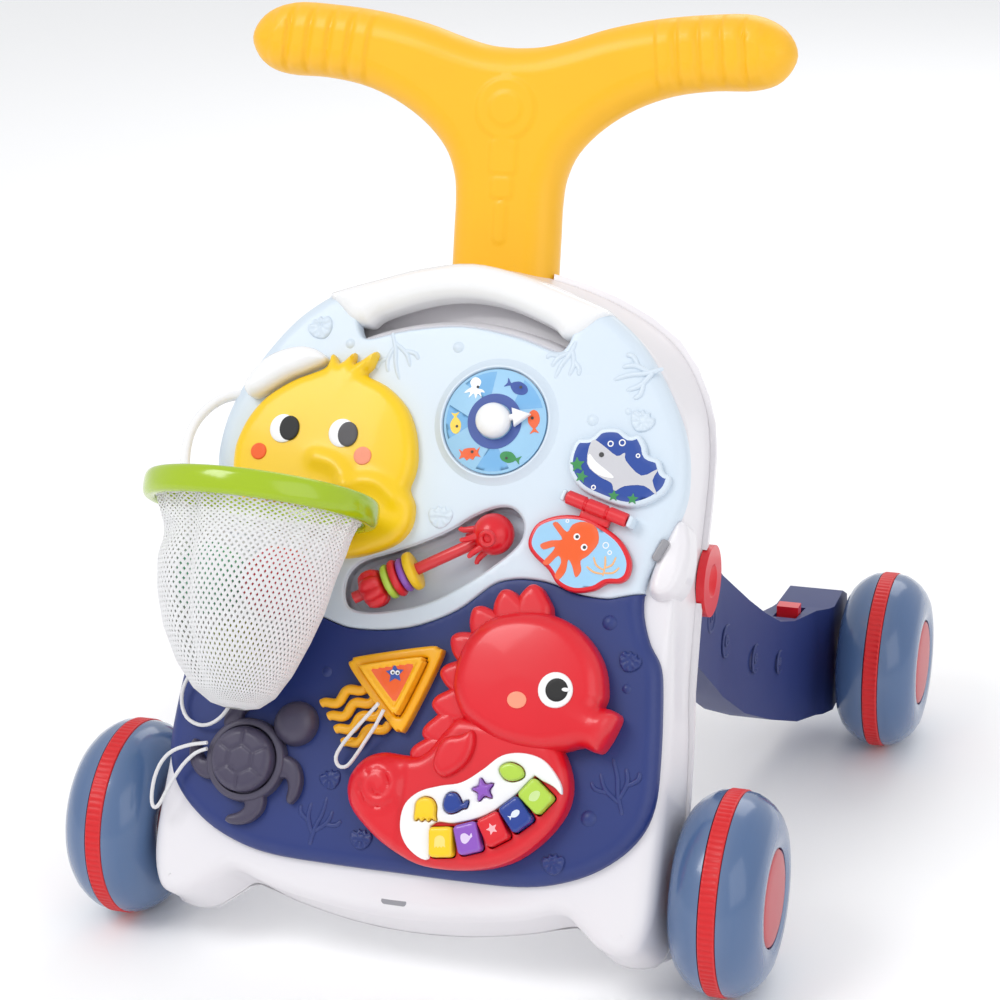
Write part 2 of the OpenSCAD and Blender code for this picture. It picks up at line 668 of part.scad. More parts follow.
module key_area(k, grow = 0) {
    translate([k[0], k[1]]) rotate(k[2]) offset(r = 1.6 + grow)
        square([key_w - 3.2, key_l - 3.2], center = true);
}
module seahorse_body() {
    tips = [[60, 223], [43, 220], [30, 210], [22, 195], [20, 178], [18, 162], [14, 148], [10, 135]];
    dips = [[68, 214], [52, 213], [39, 206], [30, 196], [27, 182], [26, 167], [25, 153], [20, 142]];
    back = [for (i = [0:7]) each [dips[i], tips[i]]];
    front = [[4, 135], [-9, 136], [-19, 131], [-25, 120], [-22, 107], [-9, 95], [5, 87], [21, 82], [44, 83],
        [64, 89], [79, 101], [89, 116], [90, 131], [85, 144], [94, 149], [103, 148], [107, 153], [109, 160],
        [111.5, 167], [106, 170], [102, 168], [103, 177], [100, 190], [93, 201], [82, 210]];
    color("crimson") on_panel() difference() {
        slab(0, body_n) polygon(concat(back, front));
        for (k = keys) slab(well_n, body_n + 1) key_area(k, gap);
        for (b = buttons) translate([b[0], b[1], well_n]) cylinder(r = button_r + gap, h = 9);
    }
}
module key_plate() {
    color("white") on_panel() slab(body_n, plate_n) difference() {
        polygon(smooth(plate_area, 2));
        for (k = keys) key_area(k, gap);
        for (b = buttons) translate(b) circle(r = button_r + gap);
    }
}
module piano_key(i) {
    tints = ["gold", "mediumpurple", "crimson", "royalblue", "yellowgreen"];
    color(tints[i]) on_panel() slab(body_n - 2, key_n) key_area(keys[i]);
}
module round_button(i) {
    tints = ["gold", "royalblue", "mediumpurple", "yellowgreen"];
    color(tints[i]) on_panel() translate([buttons[i][0], buttons[i][1], body_n - 2])
        cylinder(r = button_r, h = key_n - body_n + 1);
}

/* Turtle and jellyfish shape sorters */
turtle_at = [-84, 124];
sorter_n = 6;
recess_n = 2;
plug_n = 12;
flippers = [[105, 29], [178, 30], [268, 30], [335, 28]];
jelly_out = [[-33, 176], [-33, 181], [-29, 183], [6, 192], [12, 191], [14, 186], [1, 151], [-3, 148],
    [-7, 150]];
module jelly_plug_area(grow = 0) {
    offset(r = 1.5 + grow) offset(delta = -6) polygon(jelly_out);
}
module turtle_base() {
    color("dimgray") on_panel() difference() {
        union() {
            translate([turtle_at[0], turtle_at[1], 0]) {
                cylinder(r = turtle_r + 4, h = sorter_n);
                for (f = flippers) linear_extrude(4) hull() {
                    circle(r = 9, $fn = 32);
                    rotate(f[0]) translate([f[1], 0]) circle(r = 5, $fn = 32);
                }
            }
            intersection() {
                translate([-58, 146, 3]) sphere(r = 10.8);
                slab(0, 30) translate([-58, 146]) square(40, center = true);
            }
        }
        translate([turtle_at[0], turtle_at[1], recess_n]) cylinder(r = turtle_r + gap, h = 20);
    }
}
module turtle_plug() {
    color("slategray") on_panel() translate([turtle_at[0], turtle_at[1], recess_n + gap]) {
        cylinder(r = turtle_r, h = plug_n - recess_n - gap - 3);
        translate([0, 0, plug_n - recess_n - gap - 3]) cylinder(r1 = turtle_r, r2 = turtle_r - 4, h = 3);
        translate([-turtle_r - 1, 4, 5.5]) cylinder(r = 2.2, h = 3);
    }
}
module jelly_base() {
    color("orange") on_panel() difference() {
        union() {
            slab(0, sorter_n) polygon(smooth(jelly_out));
            for (i = [0:3]) translate([-25 + i * 5, 170 - i * 7, 0]) rotate(210) linear_extrude(4.5)
                polygon(concat([for (x = [-6:2:26]) [x, 2 + 1.8 * sin(x * 24)]],
                    [for (x = [26:-2:-6]) [x, -2 + 1.8 * sin(x * 24)]]));
        }
        slab(recess_n, 20) jelly_plug_area(gap);
    }
}
module jelly_plug() {
    color("orange") on_panel() slab(recess_n + gap, plug_n) jelly_plug_area();
}

frame_front_shell();
frame_rear_shell();
frame_screws();
side_latches();
release_tab();
front_axle();
push_handle();
wheel_place(-1, front_y, front_track) wheel_core();  // wheel_core_fl
wheel_place(1, front_y, front_track) wheel_core();  // wheel_core_fr
wheel_place(-1, rear_y, rear_track) wheel_core();  // wheel_core_rl
wheel_place(1, rear_y, rear_track) wheel_core();  // wheel_core_rr
wheel_place(-1, front_y, front_track) wheel_tyre();  // wheel_tyre_fl
wheel_place(1, front_y, front_track) wheel_tyre();  // wheel_tyre_fr
wheel_place(-1, rear_y, rear_track) wheel_tyre();  // wheel_tyre_rl
wheel_place(1, rear_y, rear_track) wheel_tyre();  // wheel_tyre_rr
mirror([1, 0, 0]) leg();  // leg_left
leg();  // leg_right
hinge_pins();
mirror([1, 0, 0]) rear_axle();  // rear_axle_left
rear_axle();  // rear_axle_right
mirror([1, 0, 0]) brake_lever();  // brake_lever_left
brake_lever();  // brake_lever_right
panel_upper();
panel_lower();
carry_handle();
panel_back();
battery_door();
batteries();
circuit_board();
speaker();
duck_head();
net_hoop();
net_bag();
net_balls();
fishing_rod();
net_string();
dial_disc();
dial_knob();
shark_plate();
octopus_flap();
bead_rail();
ring_beads();
seahorse_body();
key_plate();
piano_key(0);  // key_1
piano_key(1);  // key_2
piano_key(2);  // key_3
piano_key(3);  // key_4
piano_key(4);  // key_5
round_button(0);  // button_1
round_button(1);  // button_2
round_button(2);  // button_3
round_button(3);  // button_4
turtle_base();
turtle_plug();
turtle_string();
jelly_base();
jelly_plug();
jelly_string();
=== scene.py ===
"""The looks of a baby walker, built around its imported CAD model. Shapes are in millimetres until placed()."""
import json
import math

import bpy
import numpy as np
from mathutils import Matrix, Vector
from mathutils.geometry import delaunay_2d_cdt


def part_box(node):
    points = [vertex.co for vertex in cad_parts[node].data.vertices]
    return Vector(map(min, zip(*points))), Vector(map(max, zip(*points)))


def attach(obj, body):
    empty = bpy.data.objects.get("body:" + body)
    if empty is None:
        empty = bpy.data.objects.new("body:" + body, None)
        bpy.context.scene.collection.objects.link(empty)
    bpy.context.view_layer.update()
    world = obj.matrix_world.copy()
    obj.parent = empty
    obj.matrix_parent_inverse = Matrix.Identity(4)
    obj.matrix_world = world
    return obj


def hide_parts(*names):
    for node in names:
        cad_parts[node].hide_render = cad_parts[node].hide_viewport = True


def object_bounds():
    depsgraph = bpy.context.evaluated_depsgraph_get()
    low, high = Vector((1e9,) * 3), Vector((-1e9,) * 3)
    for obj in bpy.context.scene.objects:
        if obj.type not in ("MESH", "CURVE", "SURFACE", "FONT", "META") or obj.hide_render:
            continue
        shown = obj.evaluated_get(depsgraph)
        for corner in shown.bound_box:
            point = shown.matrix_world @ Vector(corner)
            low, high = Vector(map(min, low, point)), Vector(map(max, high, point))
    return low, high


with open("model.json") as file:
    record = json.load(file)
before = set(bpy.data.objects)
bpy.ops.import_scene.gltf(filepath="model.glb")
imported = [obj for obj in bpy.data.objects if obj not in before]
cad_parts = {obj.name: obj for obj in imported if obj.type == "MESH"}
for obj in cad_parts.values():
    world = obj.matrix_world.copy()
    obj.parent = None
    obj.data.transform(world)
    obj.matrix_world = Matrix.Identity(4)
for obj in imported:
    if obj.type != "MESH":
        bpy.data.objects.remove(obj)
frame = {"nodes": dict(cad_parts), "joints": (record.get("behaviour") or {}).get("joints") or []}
cad_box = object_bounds()
MM = 0.001
JOINTS = {j["name"]: j for j in frame["joints"]}


# ---------------------------------------------------------------- places
class Plane:
    """A tilted working plane: u runs to the right, v up the plane and n out of it."""

    def __init__(self, origin, normal):
        self.u = np.array([1.0, 0.0, 0.0])
        self.n = np.array(normal, float) / np.linalg.norm(normal)
        self.v = np.cross(self.n, self.u)
        self.o = np.array(origin, float)

    def placed(self, points):
        p = np.atleast_2d(np.asarray(points, float)) * MM
        return self.o + p[:, :1] * self.u + p[:, 1:2] * self.v + p[:, 2:3] * self.n


DIAL = (25, 311)
SUNK = -0.8  # how far a piece on the panel reaches under its face
dial_joint = JOINTS["dial_spin"]
panel = Plane((0, 0, 0), dial_joint["axis"])
panel.o = np.array(dial_joint["pos_m"]) - (panel.u * DIAL[0] + panel.v * DIAL[1] + panel.n * 2) * MM


def at(u, v, n=0):
    """A place on the panel's plane, in the walker's frame."""
    return Vector(panel.placed([(u, v, n)])[0])


HANDLE_TILT = math.radians(15)
HANDLE_HALF = 16
HANDLE_TOP = 138
STEM_LEN = 47
handle_low, handle_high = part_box("push_handle")
handle = Plane((0, 0, 0), (0, -math.cos(HANDLE_TILT), math.sin(HANDLE_TILT)))
handle.o = np.array([
    0,
    handle_high.y - (HANDLE_TOP * math.sin(HANDLE_TILT) + HANDLE_HALF * math.cos(HANDLE_TILT)) * MM,
    handle_low.z + (STEM_LEN * math.cos(HANDLE_TILT) + HANDLE_HALF * math.sin(HANDLE_TILT)) * MM,
])


# ---------------------------------------------------------------- camera and light
CAMERA_TURN = (18.84, 20.21, -1.72)  # azimuth, elevation and roll
CAMERA_PLACE = (0.43804, -1.28494, 0.69695)
CAMERA_LENS = 94.2


def make_camera():
    azimuth, elevation, roll = (math.radians(a) for a in CAMERA_TURN)
    forward = Vector((-math.sin(azimuth) * math.cos(elevation), math.cos(azimuth) * math.cos(elevation),
                      -math.sin(elevation)))
    right = Vector((math.cos(azimuth), math.sin(azimuth), 0))
    up = right.cross(forward)
    rolled_right = right * math.cos(roll) + up * math.sin(roll)
    rolled_up = up * math.cos(roll) - right * math.sin(roll)
    data = bpy.data.cameras.new("camera")
    data.lens = CAMERA_LENS
    data.sensor_width = 36
    data.clip_start = 0.05
    camera = bpy.data.objects.new("camera", data)
    bpy.context.scene.collection.objects.link(camera)
    axes = Matrix((rolled_right, rolled_up, -forward)).transposed()
    camera.matrix_world = Matrix.Translation(CAMERA_PLACE) @ axes.to_4x4()
    bpy.context.scene.camera = camera


def area_light(name, place, aim, size, power):
    data = bpy.data.lights.new(name, "AREA")
    data.size = size
    data.energy = power
    light = bpy.data.objects.new(name, data)
    light.location = place
    light.rotation_euler = (Vector(aim) - Vector(place)).to_track_quat("-Z", "Y").to_euler()
    bpy.context.scene.collection.objects.link(light)


def make_studio():
    world = bpy.data.worlds.new("studio")
    world.use_nodes = True
    world.node_tree.nodes["Background"].inputs["Color"].default_value = (0.97, 0.98, 1, 1)
    world.node_tree.nodes["Background"].inputs["Strength"].default_value = 0.82
    bpy.context.scene.world = world
    bpy.context.scene.view_settings.view_transform = "Standard"
    area_light("key", (-0.9, -1.3, 1.9), (0, 0, 0.2), 0.9, 16)
    area_light("fill", (1.8, -1.2, 1.1), (0, 0, 0.2), 1.6, 8)
    area_light("back", (0.2, 1.8, 1.6), (0, 0, 0.25), 1.4, 11)


# ---------------------------------------------------------------- materials
def linear(rgb):
    shares = [x / 255 for x in rgb]
    return tuple((c / 12.92 if c <= 0.04045 else ((c + 0.055) / 1.055) ** 2.4) for c in shares)


DEPTH = 0.92  # colours are this much deeper than their printed values


def plastic(name, rgb, rough=0.32, coat=0.25, grain=0.12, wear=0.12, mottle=0.06, sheen=0.0,
            depth=True):
    """Moulded plastic: faint mottling, uneven gloss, a fine grain and slightly paler worn edges."""
    material = bpy.data.materials.new(name)
    material.use_nodes = True
    tree = material.node_tree
    nodes, links = tree.nodes, tree.links
    shader = nodes["Principled BSDF"]
    base = [c * DEPTH for c in linear(rgb)] if depth else linear(rgb)
    place = nodes.new("ShaderNodeTexCoord")

    def noise(scale, detail):
        node = nodes.new("ShaderNodeTexNoise")
        node.inputs["Scale"].default_value = scale
        node.inputs["Detail"].default_value = detail
        links.new(place.outputs["Object"], node.inputs["Vector"])
        return node

    broad, fine = noise(22, 3), noise(1400, 2)
    tint = nodes.new("ShaderNodeMix")
    tint.data_type = "RGBA"
    tint.inputs["A"].default_value = (*[c * (1 - mottle) for c in base], 1)
    tint.inputs["B"].default_value = (*[min(1, c * (1 + mottle)) for c in base], 1)
    links.new(broad.outputs["Fac"], tint.inputs["Factor"])
    geometry = nodes.new("ShaderNodeNewGeometry")
    edge = nodes.new("ShaderNodeMapRange")
    edge.inputs["From Min"].default_value = 0.52
    edge.inputs["From Max"].default_value = 0.62
    edge.inputs["To Max"].default_value = wear
    links.new(geometry.outputs["Pointiness"], edge.inputs["Value"])
    worn = nodes.new("ShaderNodeMix")
    worn.data_type = "RGBA"
    worn.inputs["B"].default_value = (*[c + (1 - c) * 0.35 for c in base], 1)
    links.new(edge.outputs["Result"], worn.inputs["Factor"])
    links.new(tint.outputs["Result"], worn.inputs["A"])
    links.new(worn.outputs["Result"], shader.inputs["Base Color"])
    gloss = nodes.new("ShaderNodeMapRange")
    gloss.inputs["To Min"].default_value = max(0.03, rough - 0.06)
    gloss.inputs["To Max"].default_value = rough + 0.08
    links.new(broad.outputs["Fac"], gloss.inputs["Value"])
    links.new(gloss.outputs["Result"], shader.inputs["Roughness"])
    bump = nodes.new("ShaderNodeBump")
    bump.inputs["Strength"].default_value = grain
    bump.inputs["Distance"].default_value = 0.0002
    links.new(fine.outputs["Fac"], bump.inputs["Height"])
    links.new(bump.outputs["Normal"], shader.inputs["Normal"])
    shader.inputs["Coat Weight"].default_value = coat
    shader.inputs["Coat Roughness"].default_value = 0.08
    if sheen:
        shader.inputs["Sheen Weight"].default_value = sheen
    return material


def metal(name, rgb, rough=0.28):
    """Drawn steel: a fine grain and mottling."""
    material = plastic(name, rgb, rough, coat=0, grain=0.2, wear=0.1, mottle=0.1)
    material.node_tree.nodes["Principled BSDF"].inputs["Metallic"].default_value = 1
    return material


def woven(name, rgb, scale=900):
    """Knitted or braided yarn: a distorted wave pattern gives the stitches, with a soft sheen."""
    material = plastic(name, rgb, 0.8, coat=0, grain=0.5, wear=0, mottle=0.04, sheen=0.4)
    nodes, links = material.node_tree.nodes, material.node_tree.links
    wave = nodes.new("ShaderNodeTexWave")
    wave.inputs["Scale"].default_value = scale
    wave.inputs["Distortion"].default_value = 2
    bump = nodes.new("ShaderNodeBump")
    bump.inputs["Strength"].default_value = 0.5
    bump.inputs["Distance"].default_value = 0.0003
    place = next(n for n in nodes if n.bl_idname == "ShaderNodeTexCoord")
    grain = next(n for n in nodes if n.bl_idname == "ShaderNodeBump")
    links.new(place.outputs["Object"], wave.inputs["Vector"])
    links.new(wave.outputs["Fac"], bump.inputs["Height"])
    links.new(grain.outputs["Normal"], bump.inputs["Normal"])
    links.new(bump.outputs["Normal"], nodes["Principled BSDF"].inputs["Normal"])
    return material


WHITE = plastic("white_moulding", (236, 233, 237), 0.36, mottle=0.012)
SILK = plastic("white_gloss", (250, 250, 251), 0.22, coat=0.3, mottle=0.01)
YELLOW = plastic("handle_yellow", (255, 190, 0), 0.45, coat=0.1, mottle=0.04)
DUCK = plastic("duck_yellow", (255, 210, 0), 0.36, coat=0.15, mottle=0.03)
PALE = plastic("panel_pale_blue", (216, 229, 241), 0.4, coat=0.15, mottle=0.012)
NAVY = plastic("panel_navy", (26, 48, 118), 0.46, coat=0.06)
LEG = plastic("leg_blue", (42, 56, 116), 0.5, coat=0.04)
RED = plastic("gloss_red", (226, 6, 30), 0.32, coat=0.2)
WHEEL = plastic("wheel_blue_grey", (78, 106, 148), 0.22, coat=0.4)
TREAD = plastic("tread_red", (218, 12, 22), 0.45, coat=0.05)
CAP = plastic("cap_coral", (192, 70, 78), 0.4, coat=0.1)
LIME = plastic("hoop_lime", (166, 196, 0), 0.18, coat=0.35)
KEY_LIME = plastic("key_lime", (184, 220, 70), 0.24, coat=0.3)
ORANGE = plastic("jelly_amber", (254, 184, 0), 0.36, coat=0.15)
DEEP_ORANGE = plastic("print_orange", (242, 92, 8), 0.5, coat=0.05)
TURTLE = plastic("turtle_slate", (66, 60, 84), 0.42, coat=0.1)
PURPLE = plastic("key_purple", (146, 84, 196), 0.24, coat=0.3)
BLUE = plastic("key_blue", (18, 58, 150), 0.24, coat=0.3)
SKY = plastic("print_sky", (158, 208, 242), 0.5, coat=0.05)
SKY_DEEP = plastic("print_deep_sky", (116, 180, 230), 0.5, coat=0.05)
PRINT_BLUE = plastic("print_blue", (10, 66, 158), 0.5, coat=0.05)
PRINT_GREEN = plastic("print_green", (16, 140, 64), 0.5, coat=0.05)
PRINT_GREY = plastic("print_grey", (206, 206, 212), 0.5, coat=0.05)
TAN = plastic("print_tan", (250, 190, 130), 0.5, coat=0.05)
BLACK = plastic("eye_black", (12, 11, 12), 0.5, coat=0.0)
# Painted reflection: the pupils' black drawn dark grey, for the glare on the right pupil.
PUPIL_BLACK_PAINTED_GLARE = plastic("eye_black_painted_glare", (78, 76, 80), 0.5, coat=0.05)
PINK = plastic("cheek_pink", (255, 156, 124), 0.5, coat=0.05)
CHEEK = plastic("cheek_orange", (252, 96, 0), 0.5, coat=0.05)
# Painted shade: a flat grey put in the grip and chin slits for the dark inside them.
SHADE = plastic("painted_slit_shade", (150, 150, 156), 0.5)
STEEL = metal("axle_steel", (190, 190, 194))
BOARD = plastic("board_green", (20, 110, 60), 0.4)
BRASS = metal("battery_brass", (190, 150, 70))
DARK = plastic("speaker_dark", (35, 35, 38), 0.6)
NET = woven("net_yarn", (246, 246, 247))
CORD = woven("string_yarn", (244, 243, 245), 1500)
BALLS = [plastic("ball_green", (96, 196, 150), 0.4), plastic("ball_red", (232, 60, 70), 0.4),
         plastic("ball_lime", (206, 216, 90), 0.4)]


# ---------------------------------------------------------------- outlines
def curved(points, k=4, closed=True):
    """A smooth (Catmull-Rom) line through points, with k steps to a span."""
    p = np.asarray(points, float)
    count = len(p)
    out = []
    for i in range(count if closed else count - 1):
        if closed:
            a, b, c, d = (p[(i + s) % count] for s in (-1, 0, 1, 2))
        else:
            a, b, c, d = p[max(i - 1, 0)], p[i], p[i + 1], p[min(i + 2, count - 1)]
        for t in np.arange(k) / k:
            out.append(0.5 * (2 * b + (c - a) * t + (2 * a - 5 * b + 4 * c - d) * t * t
                              + (3 * b - a - 3 * c + d) * t ** 3))
    if not closed:
        out.append(p[-1])
    return np.array(out)


def mirrored(half):
    half = [tuple(h) for h in half]
    return half + [(-x, y) for x, y in half[-2:0:-1]]


def spaced(loop, step):
    """The same closed outline with points no further apart than step."""
    loop = np.asarray(loop, float)
    out = []
    for a, b in zip(loop, np.roll(loop, -1, 0)):
        parts = max(1, math.ceil(np.linalg.norm(b - a) / step))
        out += [a + (b - a) * i / parts for i in range(parts)]
    return np.array(out)


def away(points, loop, closed=True):
    """Distance of each point from an outline or an open line."""
    a = np.asarray(loop, float)
    b = np.roll(a, -1, 0) if closed else a[1:]
    a = a if closed else a[:-1]
    result = np.full(len(points), 1e9)
    for start in range(0, len(a), 64):
        p, q = a[start:start + 64], b[start:start + 64]
        d = q - p
        size = np.maximum((d ** 2).sum(1), 1e-12)
        t = np.clip(((points[:, None] - p) * d).sum(2) / size, 0, 1)
        gap = np.linalg.norm(points[:, None] - (p + t[..., None] * d), axis=2)
        result = np.minimum(result, gap.min(1))
    return result


def inside(points, loop):
    a = np.asarray(loop, float)
    b = np.roll(a, -1, 0)
    hit = np.zeros(len(points), bool)
    for (x0, y0), (x1, y1) in zip(a, b):
        if y0 == y1:
            continue
        crosses = (points[:, 1] > min(y0, y1)) & (points[:, 1] <= max(y0, y1))
        x = x0 + (points[:, 1] - y0) / (y1 - y0) * (x1 - x0)
        hit ^= crosses & (points[:, 0] < x)
    return hit


def shrunk(loop, amount):
    """A closed outline moved inward; negative amounts move it outward."""
    p = np.asarray(loop, float)
    along = np.roll(p, -1, 0) - np.roll(p, 1, 0)
    along /= np.maximum(np.linalg.norm(along, axis=1), 1e-9)[:, None]
    area = (p[:, 0] * np.roll(p[:, 1], -1) - p[:, 1] * np.roll(p[:, 0], -1)).sum()
    inward = np.stack([-along[:, 1], along[:, 0]], 1) * (1 if area > 0 else -1)
    return p + inward * np.asarray(amount).reshape(-1, 1)


def ellipse(x, y, rx, ry=None, turn=0, count=28):
    t = np.linspace(0, 2 * math.pi, count, endpoint=False)
    c, s = math.cos(math.radians(turn)), math.sin(math.radians(turn))
    px, py = rx * np.cos(t), (ry or rx) * np.sin(t)
    return np.stack([x + px * c - py * s, y + px * s + py * c], 1)


def turned(points, x, y, size=1.0, turn=0):
    c, s = math.cos(math.radians(turn)) * size, math.sin(math.radians(turn)) * size
    p = np.asarray(points, float)
    return np.stack([x + p[:, 0] * c - p[:, 1] * s, y + p[:, 0] * s + p[:, 1] * c], 1)


def rounded_box(x, y, w, h, r, turn=0):
    p = []
    for cx, cy, start in ((w / 2 - r, h / 2 - r, 0), (r - w / 2, h / 2 - r, 90), (r - w / 2, r - h / 2, 180),
                          (w / 2 - r, r - h / 2, 270)):
        p += [(cx + r * math.cos(math.radians(start + a)), cy + r * math.sin(math.radians(start + a)))
              for a in range(0, 91, 18)]
    return turned(p, x, y, 1, turn)


def ramp(x, low, high):
    t = np.clip((x - low) / (high - low), 0, 1)
    return t * t * (3 - 2 * t)


# ---------------------------------------------------------------- mesh makers
def new_piece(name, points, faces, material, body):
    mesh = bpy.data.meshes.new(name)
    mesh.from_pydata([tuple(p) for p in points], [], [tuple(f) for f in faces])
    mesh.validate()
    mesh.polygons.foreach_set("use_smooth", [True] * len(mesh.polygons))
    mesh.materials.append(material)
    piece = bpy.data.objects.new(name, mesh)
    bpy.context.scene.collection.objects.link(piece)
    mesh.update()
    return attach(piece, body)


def sharpen(piece, degrees=38):
    """Smooth shading with crisp edges where faces meet at more than this angle."""
    piece.data.set_sharp_from_angle(angle=math.radians(degrees))
    return piece


def rounding(depth, radius):
    """How far a quarter-round edge lies below the top, depth in from the outline."""
    t = radius - np.minimum(depth, radius)
    return radius - np.sqrt(np.maximum(radius ** 2 - t ** 2, 0))


def triangulated(loops, extra):
    """Triangles between the first loop and the others (its holes), using extra points inside."""
    points, edges = [], []
    for loop in loops:
        start = len(points)
        points += [Vector(p) for p in loop]
        edges += [(start + i, start + (i + 1) % len(loop)) for i in range(len(loop))]
    points += [Vector(p) for p in extra]
    verts, _, faces, origins, _, _ = delaunay_2d_cdt(points, edges, [], 0, 1e-6)
    verts = np.array([tuple(v) for v in verts])
    where = {}
    for out_index, sources in enumerate(origins):
        for source in sources:
            where[source] = out_index
    faces = [f for f in faces if len(f) == 3]
    centres = np.array([verts[list(f)].mean(0) for f in faces])
    keep = inside(centres, loops[0])
    for hole in loops[1:]:
        keep &= ~inside(centres, hole)
    return verts, [f for f, k in zip(faces, keep) if k], where


def moulded(name, body, material, outer, holes=(), top=3.0, base=0.0, radius=1.5, step=2.5, form=None,
            plane=panel, both=False):
    """A shell cut to an outline, with rounded edges. form(points, depth) adds to its height; both mirrors the
    top below n = 0 to make a two-sided piece."""
    loops = [spaced(loop, step) for loop in (outer, *holes)]

    def depth_of(points):
        return np.min([away(points, loop) for loop in loops], axis=0)

    extra = []
    for index, loop in enumerate(loops):
        for angle in (22, 44, 66, 88):
            d = radius * (1 - math.cos(math.radians(angle)))
            ring = shrunk(loop, d if index == 0 else -d)
            if d > 0.12:
                extra.append(ring[away(ring, loop) > d * 0.93])
    low, high = loops[0].min(0), loops[0].max(0)
    xs = np.arange(low[0], high[0], step)
    ys = np.arange(low[1], high[1], step * 0.866)
    grid = np.array([(x + (step / 2 if j % 2 else 0), y) for j, y in enumerate(ys) for x in xs])
    points = np.concatenate(extra + [grid]) if extra else grid
    keep = inside(points, loops[0])
    for hole in loops[1:]:
        keep &= ~inside(points, hole)
    points = points[keep]
    on_ring = np.arange(len(keep))[keep] < sum(len(e) for e in extra)
    depth = depth_of(points)
    points = points[(on_ring & (depth > 0.1)) | (depth > radius + 0.35 * step)]
    verts, faces, where = triangulated(loops, points)
    depth = depth_of(verts)
    depth[depth < 1e-4] = 0
    height = top - rounding(depth, radius)
    if form is not None:
        height = height + form(verts, depth)
    upper = np.column_stack([verts, height])
    count = len(verts)
    low_height = -height if both else np.full(count, float(base))
    lower = np.column_stack([verts, low_height])
    all_faces = [tuple(f) for f in faces] + [tuple(count + i for i in reversed(f)) for f in faces]
    start = 0
    for index, loop in enumerate(loops):
        n = len(loop)
        ids = [where[start + i] for i in range(n)]
        area = (loop[:, 0] * np.roll(loop[:, 1], -1) - loop[:, 1] * np.roll(loop[:, 0], -1)).sum()
        forward = (area > 0) == (index == 0)
        for i in range(n):
            a, b = ids[i], ids[(i + 1) % n]
            quad = (a, count + a, count + b, b)
            all_faces.append(quad if forward else quad[::-1])
        start += n
    piece = new_piece(name, plane.placed(np.concatenate([upper, lower])), all_faces, material, body)
    return sharpen(piece, 50)


def lathed(name, body, material, profile, centre, axis, count=96, ripple=None, closed=True):
    """A ring turned round an axis. profile holds (radius, place along the axis) in millimetres."""
    axis = Vector(axis).normalized()
    side = axis.orthogonal().normalized()
    other = axis.cross(side)
    points, faces = [], []
    m = len(profile)
    for i in range(count):
        t = 2 * math.pi * i / count
        for j, (r, x) in enumerate(profile):
            rr = r + (ripple(i, j, r, x) if ripple else 0)
            spoke = side * math.cos(t) + other * math.sin(t)
            points.append(Vector(centre) + spoke * rr * MM + axis * x * MM)
    for i in range(count):
        for j in range(m if closed else m - 1):
            a, b = i * m + j, i * m + (j + 1) % m
            c, d = ((i + 1) % count) * m + (j + 1) % m, ((i + 1) % count) * m + j
            faces.append((a, b, c, d))
    piece = new_piece(name, points, faces, material, body)
    weld(piece)
    return sharpen(piece, 42)


def stand_in(piece, node):
    """Hides the CAD node that a piece stands in for."""
    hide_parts(node)


def weld(piece):
    """Joins the points that meet on an axis, and makes all the faces point outward."""
    import bmesh
    mesh = bmesh.new()
    mesh.from_mesh(piece.data)
    bmesh.ops.remove_doubles(mesh, verts=mesh.verts, dist=1e-6)
    bmesh.ops.recalc_face_normals(mesh, faces=mesh.faces)
    mesh.to_mesh(piece.data)
    mesh.free()


def tube(name, body, material, points, radius, taper=None):
    """A round curve through places in the walker's frame, in metres, with closed ends."""
    data = bpy.data.curves.new(name, "CURVE")
    data.dimensions = "3D"
    data.bevel_depth = radius * MM
    data.bevel_resolution = 4
    data.use_fill_caps = True
    spline = data.splines.new("POLY")
    spline.points.add(len(points) - 1)
    for i, (target, p) in enumerate(zip(spline.points, points)):
        target.co = (*p, 1)
        if taper:
            target.radius = taper(i / (len(points) - 1))
    data.materials.append(material)
    piece = bpy.data.objects.new(name, data)
    bpy.context.scene.collection.objects.link(piece)
    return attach(piece, body)


def worm(name, body, material, points, radius, plane=panel, k=5, ends=0.35):
    """A rounded raised line on a plane, tapering at both ends."""
    line = curved(points, k, closed=False)
    return tube(name, body, material, plane.placed(line), radius,
                lambda t: ends + (1 - ends) * math.sin(math.pi * min(1, max(0, t))) ** 0.4)


def soften(node, material, width=1.0, segments=3, degrees=32):
    """Gives a CAD piece rounded moulded edges and a material."""
    piece = frame["nodes"][node]
    piece.data.polygons.foreach_set("use_smooth", [True] * len(piece.data.polygons))
    piece.data.materials.clear()
    piece.data.materials.append(material)
    joined = piece.modifiers.new("weld", "WELD")
    joined.merge_threshold = 2e-6
    flat = piece.modifiers.new("flatten", "DECIMATE")
    flat.decimate_type = "DISSOLVE"
    flat.angle_limit = math.radians(1.5)
    bevel = piece.modifiers.new("bevel", "BEVEL")
    bevel.width = width * MM
    bevel.segments = segments
    bevel.limit_method = "ANGLE"
    bevel.angle_limit = math.radians(degrees)
    bevel.harden_normals = False
    bevel.use_clamp_overlap = True
    shade = piece.modifiers.new("shade", "WEIGHTED_NORMAL")
    shade.keep_sharp = True


def painted(node, material):
    piece = frame["nodes"][node]
    piece.data.materials.clear()
    piece.data.materials.append(material)


# ---------------------------------------------------------------- camera and cords first
make_camera()

